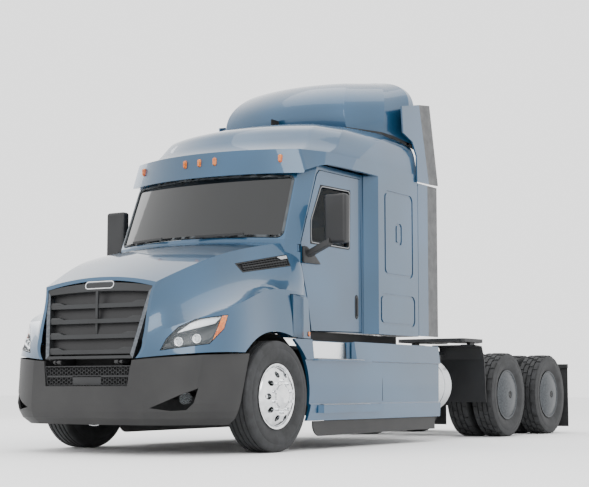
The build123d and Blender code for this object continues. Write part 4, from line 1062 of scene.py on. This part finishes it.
arches = []
for side, word in leftAndRight:
    arches.append(archLiner(side))
    # a dark strip inside the door line: painted shadow line between the doors and the chassis
    (front, rear), (low, high) = linersAndShade["shadowLineY"], linersAndShade["shadowLineZ"]
    shadowLine = slab(f"cabShadowLine{word.title()}", [place(side * linersAndShade["shadowLineX"], y, z) for y, z in
                                           ((front, low), (front, high), (rear, high), (rear, low))],
                Vector((-side * 0.02, 0, 0)))
    finishPiece(shadowLine, "blackVoid", "chassis")
    lampX, lampY, lampZ = sideLamp["place"]
    eighths = [math.radians(45 * k) for k in range(8)]
    marker = slab(f"sideLamp{word.title()}",
                  [place(side * lampX, lampY + sideLamp["halfWidth"] * math.cos(turn),
                         lampZ + sideLamp["halfHeight"] * math.sin(turn)) for turn in eighths],
                  Vector((side * sideLamp["rise"], 0, 0)))
    roundEdges(marker, 0.004, 3)
    finishPiece(marker, "amber", "hood")
finishPiece(joinPieces("archLiners", arches), "blackVoid", "hood")
# a dark sheet behind the grille: painted shade of the space under the hood
behind = slab("grillePaintedShade", [place(x, -1040, z) for x, z in linersAndShade["behindGrille"]], Vector((0, 0.01, 0)))
finishPiece(behind, "blackVoid", "chassis")

footSeal = skinPatch("fairingSeal", "roof_fairing", onFootLine)
startEditing(footSeal)
bpy.ops.mesh.select_all(action="SELECT")
bpy.ops.mesh.extrude_region_move(TRANSFORM_OT_translate={"value": Vector((0, 0, -0.035))})
bpy.ops.mesh.select_all(action="SELECT")
bpy.ops.mesh.normals_make_consistent(inside=False)
finishPiece(footSeal, "rubber", "chassis")
# a dark sheet inside the roof fairing: painted shade of its hollow
under = slab("fairingPaintedShade", [place(-8, y, z) for y, z in linersAndShade["underFairing"]], Vector((0.016, 0, 0)))
finishPiece(under, "blackVoid", "chassis")
print("liners made")


# floor, light and camera; each light has its place, what it faces, its size and its power
studio = {"floor": "#f2f2f2", "backdrop": "#e8e8e8", "worldStrength": 2.5,
          "lights": (("keyLight", (7, -13, 9), (0, -2, 1.5), 7, 800),
                     ("leftLight", (-13, 1, 7), (0, -2, 1.5), 7, 350),
                     ("topLight", (0, 0, 11), (0, 0, 0), 9, 350)),
          "cameraAt": (8.202, -13.695, 0.574), "cameraTurn": (95.94, 0, 32.35), "cameraLens": 85.53}

bpy.ops.object.select_all(action="DESELECT")
bpy.ops.mesh.primitive_plane_add(size=160)
floor = bpy.context.object
floor.name = "studioFloor"
floorPaint, floorTree, floorShader, floorWhere = startMaterial("matt_floor_paint", Roughness=0.8)
floorNoise = noiseOf(floorTree, floorWhere, 2.0, 1.0)
variedColour(floorTree, floorShader, floorNoise, studio["floor"], studio["floor"])
floor.data.materials.append(floorPaint)

world = bpy.data.worlds.new("paleStudio")
bpy.context.scene.world = world
world.use_nodes = True
world.node_tree.nodes["Background"].inputs["Color"].default_value = linear(studio["backdrop"])
world.node_tree.nodes["Background"].inputs["Strength"].default_value = studio["worldStrength"]

for name, spot, target, size, power in studio["lights"]:
    bpy.ops.object.light_add(type="AREA", location=spot)
    light = bpy.context.object
    light.name = name
    light.data.size = size
    light.data.energy = power
    light.rotation_euler = (Vector(target) - Vector(spot)).to_track_quat("-Z", "Y").to_euler()

bpy.ops.object.camera_add(location=studio["cameraAt"],
                          rotation=[math.radians(turn) for turn in studio["cameraTurn"]])
camera = bpy.context.object
camera.data.lens = studio["cameraLens"]
camera.data.sensor_width = 36
bpy.context.scene.camera = camera
print("studio set")
